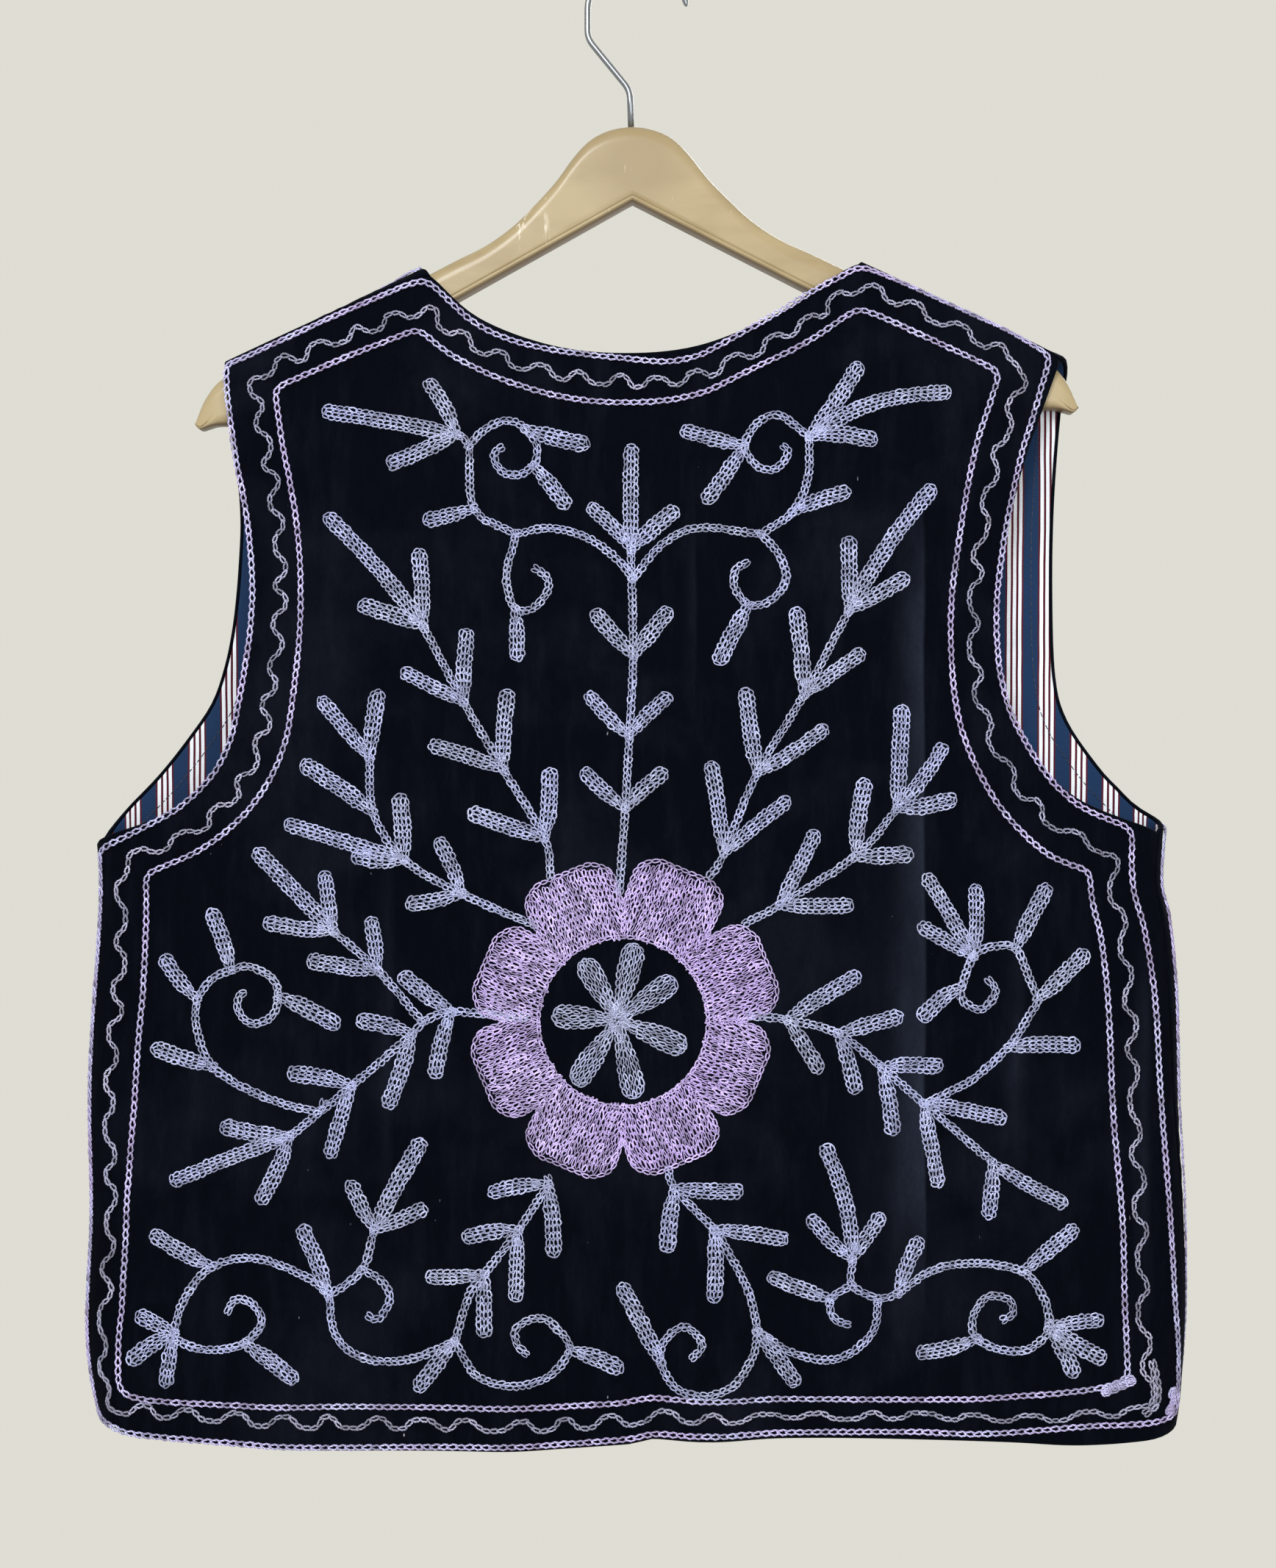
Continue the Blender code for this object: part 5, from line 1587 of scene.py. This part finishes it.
def hanger_mesh(name):
    """The hump and both arms, as close rings from one tip to the other."""
    sizes = bpy.context.scene.vest_hanger
    half = np.concatenate([np.arange(0, HANGER_HALF_SPAN - HANGER_END, sizes.arm_pitch),
                           HANGER_HALF_SPAN - HANGER_END * np.linspace(1, 0, 14) ** 1.6])
    stations = np.concatenate([-half[::-1][:-1], half])
    work = bmesh.new()
    rings = []
    for station in stations:
        ring = []
        for depth, drop in hanger_ring(abs(station), sizes.crown_steps):
            across = station * cos(HANGER_TILT) + drop * sin(HANGER_TILT)
            fall = -station * sin(HANGER_TILT) + drop * cos(HANGER_TILT)
            ring.append(work.verts.new(HANGER_TOP + Vector((across, depth, -fall))))
        rings.append(ring)
    bridge(work, rings)
    caps = [work.faces.new(rings[0][::-1]), work.faces.new(rings[-1])]
    for cap in caps:
        bmesh.ops.inset_individual(work, faces=[cap], thickness=0.0012, depth=0.0004)
    bmesh.ops.triangulate(work, faces=[item for item in work.faces if len(item.verts) > 4])
    mesh = finished_mesh(work, name)
    mesh.set_sharp_from_angle(angle=radians(50))
    return mesh


def hook_mesh(name):
    """Round wire from its foot on the hump up the shank and round the bow, with a domed end."""
    sides = bpy.context.scene.vest_hanger.wire_sides
    centre = Vector((0.0, 0.0, WIRE_RADIUS - BOW_RISE))
    foot = HANGER_TOP + Vector((0.0, 0.0, WIRE_FOOT_GAP))
    corners = [foot, WIRE_SHANK_TOP, Vector((-BOW_REACH_LEFT, 0.0, WIRE_OFFSET_TOP)),
               centre + Vector((-BOW_REACH_LEFT, 0.0, 0.0))]
    path = [foot]
    for before, corner, after in zip(corners, corners[1:], corners[2:]):
        back, ahead = (before - corner).normalized(), (after - corner).normalized()
        for step in range(11):
            u = step / 10
            path.append(corner + WIRE_BEND * (back * (1 - u) ** 2 + ahead * u * u))
    steps = 72
    for step in range(steps + 1):
        angle = pi + (BOW_END_ANGLE - pi) * step / steps
        reach = BOW_REACH_RIGHT if cos(angle) > 0 else BOW_REACH_LEFT
        path.append(centre + Vector((reach * cos(angle), 0.0, BOW_RISE * sin(angle))))
    thick = [1.0] * (len(path) - 4) + [0.98, 0.90, 0.72, 0.40]
    work = bmesh.new()
    rings = []
    for i, (spot, share) in enumerate(zip(path, thick)):
        run = (path[min(i + 1, len(path) - 1)] - path[max(i - 1, 0)]).normalized()
        side = Vector((-run.z, 0.0, run.x))
        rings.append([work.verts.new(spot + share * WIRE_RADIUS * (
            side * cos(2 * pi * k / sides) + Vector((0.0, sin(2 * pi * k / sides), 0.0))))
            for k in range(sides)])
    bridge(work, rings)
    work.faces.new(rings[0][::-1])
    work.faces.new(rings[-1])
    return finished_mesh(work, name)


# ---- operators ----------------------------------------------------------------------------------
# The pieces of stitches on each panel's velvet and on its lining.
STITCHES = ({"back": [], "front_left": [], "front_right": []},
            {"back": [], "front_left": [], "front_right": []})
# How far the stripes of each lining are moved across it.
STRIPE_SHIFTS = {"back": PATTERN_ORIGIN[0], "front_left": 0.3567, "front_right": 0.3539}
# The running stitch: length and thickness of what shows, and from one stitch to the next.
RUNNING_LENGTH, RUNNING_STRAND, RUNNING_SPACING = 0.0030, 0.0006, 0.0036
QUILTING_INSET = 115        # its distance from the edge, in tenths of a millimetre


def panels(pitch):
    """Name, face and edges of the three panels."""
    return (("back", BACK, back_stretches(pitch)),
            ("front_left", FRONT, front_stretches(LEFT, pitch)),
            ("front_right", FRONT, front_stretches(RIGHT, pitch)))


class VEST_OT_finishes(bpy.types.Operator):
    """Mix the finishes of the cloth, the yarns, the hanger and the hook"""

    bl_idname = "vest.finishes"
    bl_label = "Finishes"

    def execute(self, context):
        for make in (make_tone_drift, make_fibre_grain, make_ply_twist, make_scuffs, make_weave):
            make()
        yarns = context.scene.vest_stitches
        velvet_finish("velvet_back", BACK_SHEEN_BANDS)
        velvet_finish("velvet_front", FRONT_SHEEN_BANDS)
        lining_finish("striped_lining")
        for use in ("border", "wave", "leaf", "rosette"):
            yarn_finish(use + "_yarn", getattr(yarns, use + "_yarn"),
                        getattr(yarns, use + "_second"))
        yarn_finish("rosette_edge_yarn", yarns.rosette_second, yarns.border_yarn, 1.15)
        yarn_finish("quilting_thread", (0.020, 0.026, 0.060), (0.034, 0.042, 0.085))
        moulding_finish("moulded_tan")
        wire_finish("bright_wire")
        return {"FINISHED"}


def add_mesh(mesh, material, slot, node):
    """A piece of plain mesh in place of a solid of the CAD."""
    mesh.materials.append(bpy.data.materials[material])
    keep(add_object(mesh.name, mesh), slot, node)


def add_panel(mesh, material, slot, node, outline):
    """A panel of cloth; the flat outline given is not used."""
    add_mesh(mesh, material, slot, node)


class VEST_OT_velvet(bpy.types.Operator):
    """Cut the three velvet panels and turn their edges"""

    bl_idname = "vest.velvet"
    bl_label = "Velvet panels"

    def execute(self, context):
        sizes = context.scene.vest_cloth
        wall = sizes.velvet_wall
        full = wall + sizes.ply_gap + sizes.lining_wall
        turn = sizes.edge_turn
        rings = ((0.0, 0.50 * full, 0.50 * full), (0.0003, 0.22 * full, 0.78 * full),
                 (0.0008, 0.06 * full, 0.94 * full), (turn - 0.0004, 0.0, full),
                 (turn, 0.0, wall))
        for name, face, stretches in panels(VELVET_EDGE_PITCH):
            mesh = panel_mesh(name + "_velvet_cloth", face, stretches, rings, sizes.mesh_pitch)
            add_panel(mesh, "velvet_back" if face == BACK else "velvet_front", "velvet",
                      name + "_velvet", closed_outline(stretches))
        return {"FINISHED"}


class VEST_OT_lining(bpy.types.Operator):
    """Cut the three striped linings, a little inside the velvet's edges"""

    bl_idname = "vest.lining"
    bl_label = "Striped linings"

    def execute(self, context):
        sizes = context.scene.vest_cloth
        top = sizes.velvet_wall + sizes.ply_gap
        low = top + sizes.lining_wall
        edge = sizes.edge_turn + LINING_SETBACK
        rings = ((edge, 0.5 * (top + low), 0.5 * (top + low)), (edge + 0.0004, top, low),
                 (edge + 0.0016, top, low))
        for name, face, stretches in panels(LINING_EDGE_PITCH):
            mesh = panel_mesh(name + "_lining_cloth", face, stretches, rings,
                              sizes.lining_pitch, STRIPE_SHIFTS[name])
            outline = closed_outline(stretches)
            add_panel(mesh, "striped_lining", "lining", name + "_lining",
                      ring_line(outline, inward(outline), edge))
        return {"FINISHED"}


class VEST_OT_borders(bpy.types.Operator):
    """Work the three border lines along every edge: chain, wavy chain, chain"""

    bl_idname = "vest.borders"
    bl_label = "Borders"

    def execute(self, context):
        sizes = context.scene.vest_stitches
        chains = {BACK: link_object("border_link", LINK_FINE, sizes.border_link,
                                    sizes.border_width, sizes.strand, 4),
                  FRONT: link_object("front_border_link", LINK_COARSE, sizes.border_link,
                                     sizes.border_width, sizes.strand, 3)}
        thin = link_object("wave_link", LINK_COARSE, sizes.border_link * WAVE_LINK_LENGTH,
                           sizes.border_width * WAVE_LINK_WIDTH, sizes.strand, 4)
        back_insets = (SHOULDER_INSETS_LEFT, ARMHOLE_INSETS_LEFT, SIDE_INSETS_LEFT, HEM_INSETS,
                       flipped(SIDE_INSETS_RIGHT[::-1]), flipped(ARMHOLE_INSETS_RIGHT[::-1]),
                       flipped(SHOULDER_INSETS_RIGHT[::-1]), NECK_INSETS)
        # The two tables flipped for the front right run backwards: the first point of such an
        # edge takes the first row, and every other point takes the last.
        jobs = [("back", BACK, seen_stretches(GUIDE_PITCH), back_insets),
                ("front_left", FRONT, front_stretches(LEFT, GUIDE_PITCH),
                 (FRONT_SHOULDER_INSETS, FRONT_INSETS, FRONT_INSETS, FRONT_INSETS)),
                ("front_right", FRONT, front_stretches(RIGHT, GUIDE_PITCH),
                 (FRONT_INSETS, flipped(FRONT_SIDE_INSETS), FRONT_INSETS,
                  flipped(FRONT_SHOULDER_INSETS)))]
        for seed, (name, face, stretches, tables) in enumerate(jobs):
            lines = {}
            mends = dict.fromkeys(MENDS, [])
            for row, title in ((1, "outer"), (2, "wave"), (3, "inner")):
                line = inset_line(stretches, tables, row)
                if title == "wave":
                    line = waved(line, sizes.wave_rise, sizes.wave_period, 40 + seed)
                seen = pattern_of(line) if face == BACK else line
                lines[title] = [guide(resampled(seen, GUIDE_PITCH, True), True)]
                if face == BACK:
                    rows, spots = MENDS[title]
                    run = smooth_curve(spots, GUIDE_PITCH)
                    mends[title] = [guide(pattern_of(offset_line(run, aside))) for aside in rows]
            chain = lines["outer"] + lines["inner"] + mends["inner"] + mends["outer"]
            lay_stitches(name + "_border_chains", name, "border_yarn", chain, chains[face],
                         sizes.border_link, "border_yarn", 3 + seed)
            chain = lines["wave"] + mends["wave"]
            lay_stitches(name + "_wavy_chain", name, "wave_yarn", chain, thin,
                         sizes.border_link * WAVE_LINK_LENGTH, "wave_yarn", 9 + seed,
                         wander=0.16, uneven=0.12)
        return {"FINISHED"}


def flipped(table):
    """A table of insets with its shares counted from the other end."""
    return tuple(row._replace(at=1.0 - row.at) for row in table)


def fill_link(name, sizes, wide=1.0, long=1.0, thick=0.88):
    """The short plain link that fillings are worked in."""
    return link_object(name, LINK_COARSE, sizes.fill_link * long, sizes.fill_width * wide,
                       sizes.strand * thick, 3)


class VEST_OT_rosette(bpy.types.Operator):
    """Work the rosette of eight petals and the star inside it"""

    bl_idname = "vest.rosette"
    bl_label = "Rosette and star"

    def execute(self, context):
        sizes = context.scene.vest_stitches
        link = fill_link("petal_link", sizes, 0.86, 1.12, 0.78)
        fill, edges = petal_rows(sizes)
        lay_stitches("rosette_petals", "back", "rosette_yarn",
                     [guide(pattern_of(row)) for row in fill], link, sizes.fill_link * 0.92,
                     "rosette_yarn", 61, lift=0.0001, wander=0.24, uneven=0.30)
        link = fill_link("petal_edge_link", sizes, 0.94, 0.95)
        around = np.linspace(0, 2 * pi, 130, endpoint=False)
        ring = np.stack((np.cos(around), np.sin(around)), 1) * RING_REACH + ROSETTE_MIDDLE
        guides = [guide(pattern_of(row)) for row in edges] + [guide(pattern_of(ring), True)]
        lay_stitches("rosette_outline", "back", "rosette_yarn", guides, link, sizes.fill_link,
                     "rosette_edge_yarn", 62, lift=0.0002, wander=0.12)
        lay_stitches("rosette_star", "back", "leaf_yarn",
                     [guide(pattern_of(row)) for row in star_guides()], link, sizes.fill_link,
                     "leaf_yarn", 63, wander=0.20, uneven=0.22)
        return {"FINISHED"}


class VEST_OT_sprays(bpy.types.Operator):
    """Work the sprays of leaves round the rosette and up each front"""

    bl_idname = "vest.sprays"
    bl_label = "Sprays"

    def execute(self, context):
        sizes = context.scene.vest_stitches
        link = fill_link("leaf_link", sizes, 1.0, 0.87)
        jobs = [("back_sprays_" + part, "back", BACK, sprays, ROSETTE_MIDDLE, 1)
                for part, sprays in (("middle", SPRAYS_MIDDLE), ("left", SPRAYS_LEFT),
                                     ("right", SPRAYS_RIGHT), ("lower", SPRAYS_LOWER))]
        for side in (LEFT, RIGHT):
            panel = "front_" + side.name
            jobs.append((panel + "_sprays", panel, FRONT, SPRAYS_FRONT, FRONT_SPRAY_FOOT,
                         side.sign))
        for seed, (title, panel, face, sprays, origin, mirror) in enumerate(jobs):
            stems, leaves = spray_guides(sprays, np.array(origin), mirror, sizes, seed)
            found = pattern_of if face == BACK else np.asarray
            guides = [guide(found(line), snug=0.94) for line in stems]
            guides += [guide(found(line)) for line in leaves]
            lay_stitches(title, panel, "leaf_yarn", guides, link, sizes.fill_link * 0.84,
                         "leaf_yarn", 70 + seed, wander=0.23, uneven=0.24)
        return {"FINISHED"}


class VEST_OT_quilting(bpy.types.Operator):
    """Sew the running stitch that holds each lining, a little inside its edges"""

    bl_idname = "vest.quilting"
    bl_label = "Lining stitches"

    def execute(self, context):
        sizes = context.scene.vest_cloth
        depth = sizes.velvet_wall + sizes.ply_gap + sizes.lining_wall
        stitch = running_object("running_stitch", RUNNING_LENGTH, RUNNING_STRAND)
        even = insets(*((share, QUILTING_INSET, 0, 0) for share in (0.0, 1.0)))
        for seed, (name, _, stretches) in enumerate(panels(QUILTING_PITCH)):
            line = inset_line(stretches, (even,) * len(stretches), 1)
            lay_stitches(name + "_lining_stitches", name, "lining", [guide(line, True)], stitch,
                         RUNNING_SPACING, "quilting_thread", 90 + seed, depth=depth, wander=0.05)
        return {"FINISHED"}


class VEST_OT_hanger(bpy.types.Operator):
    """Mould the hanger"""

    bl_idname = "vest.hanger"
    bl_label = "Hanger"

    def execute(self, context):
        add_mesh(hanger_mesh("hanger_moulding"), "moulded_tan", "hanger_moulding", "hanger_body")
        return {"FINISHED"}


class VEST_OT_hook(bpy.types.Operator):
    """Bend the hook"""

    bl_idname = "vest.hook"
    bl_label = "Hook"

    def execute(self, context):
        add_mesh(hook_mesh("hook_bow"), "bright_wire", "hook_wire", "hanger_hook")
        return {"FINISHED"}


class VEST_OT_hang(bpy.types.Operator):
    """An empty step; the panels are left as they are"""

    bl_idname = "vest.hang"
    bl_label = "Hang the cloth"

    def execute(self, context):
        return {"FINISHED"}


def area_light(name, place, target, size, power, tint=(1.0, 1.0, 1.0)):
    """A square soft light aimed at a point."""
    lamp = bpy.data.lights.new(name, "AREA")
    lamp.size = size
    lamp.energy = power
    lamp.color = tint
    light = add_object(name, lamp)
    light.location = place
    light.rotation_mode = "QUATERNION"
    light.rotation_quaternion = (Vector(target) - Vector(place)).to_track_quat("-Z", "Y")


class VEST_OT_stage(bpy.types.Operator):
    """Set the floor, the lights and the camera"""

    bl_idname = "vest.stage"
    bl_label = "Stage"

    def execute(self, context):
        sizes = context.scene.vest_stage
        work = bmesh.new()
        bmesh.ops.create_circle(work, cap_ends=True, segments=96, radius=1.25)
        for vert in work.verts:
            vert.co.z = sizes.floor_height
        mesh = bpy.data.meshes.new("floor")
        work.to_mesh(mesh)
        work.free()
        mesh.materials.append(floor_finish("pale_floor"))
        add_object("floor", mesh)
        world = bpy.data.worlds.new("surroundings")
        world.use_nodes = True
        ground = world.node_tree.nodes["Background"]
        ground.inputs["Color"].default_value = (*sizes.backdrop, 1.0)
        ground.inputs["Strength"].default_value = 1.0
        context.scene.world = world
        middle = (0.0, 0.0, -0.42)
        area_light("key_light", (-0.6, -1.8, 0.75), middle, 0.7, 44.0, (0.97, 0.98, 1.0))
        area_light("fill_light", (0.45, -1.25, -0.30), middle, 0.9, 9.0)
        area_light("back_light", (0.6, 1.8, 0.5), middle, 1.1, 22.0)
        area_light("spot_light", (0.0, -1.05, 0.20), (0.0, 0.0, -0.15), 0.016, 0.12)
        camera = bpy.data.cameras.new("camera")
        camera.sensor_width = 36.0
        camera.lens = 36.0 * sizes.distance / sizes.view_height
        camera.clip_start = 0.01
        camera.clip_end = 30.0
        stand = add_object("camera", camera)
        stand.location = (0.0030, -0.015 - sizes.distance, -0.4216)
        stand.rotation_euler = (radians(90.0), 0.0, 0.0)
        context.scene.camera = stand
        context.scene.view_settings.view_transform = "Standard"
        return {"FINISHED"}


STEPS = (VEST_OT_finishes, VEST_OT_velvet, VEST_OT_lining, VEST_OT_borders, VEST_OT_rosette,
         VEST_OT_sprays, VEST_OT_quilting, VEST_OT_hanger, VEST_OT_hook, VEST_OT_hang,
         VEST_OT_stage)


class VEST_PT_panel(bpy.types.Panel):
    """The steps and sizes of the vest"""

    bl_idname = "VEST_PT_panel"
    bl_label = "Vest"
    bl_space_type = "VIEW_3D"
    bl_region_type = "UI"
    bl_category = "Vest"

    def draw(self, context):
        for step in STEPS:
            self.layout.operator(step.bl_idname)
        for group in ("vest_cloth", "vest_stitches", "vest_hanger", "vest_stage"):
            settings = getattr(context.scene, group)
            box = self.layout.box()
            for name in settings.bl_rna.properties.keys():
                if name not in ("name", "rna_type"):
                    box.prop(settings, name)


GROUPS = (("vest_cloth", VEST_PG_cloth), ("vest_stitches", VEST_PG_stitches),
          ("vest_hanger", VEST_PG_hanger), ("vest_stage", VEST_PG_stage))


def register():
    """Add the settings, the operators and the panel."""
    for name, group in GROUPS:
        bpy.utils.register_class(group)
        setattr(bpy.types.Scene, name, bpy.props.PointerProperty(type=group))
    for item in (*STEPS, VEST_PT_panel):
        bpy.utils.register_class(item)


def unregister():
    """Take them away again."""
    for item in reversed((*STEPS, VEST_PT_panel)):
        bpy.utils.unregister_class(item)
    for name, group in reversed(GROUPS):
        delattr(bpy.types.Scene, name)
        bpy.utils.unregister_class(group)


def main():
    """Build the vest step by step."""
    register()
    make_stitch_tree()
    for step in STEPS:
        space, name = step.bl_idname.split(".")
        getattr(getattr(bpy.ops, space), name)()
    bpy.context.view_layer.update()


if __name__ == "__main__":
    main()
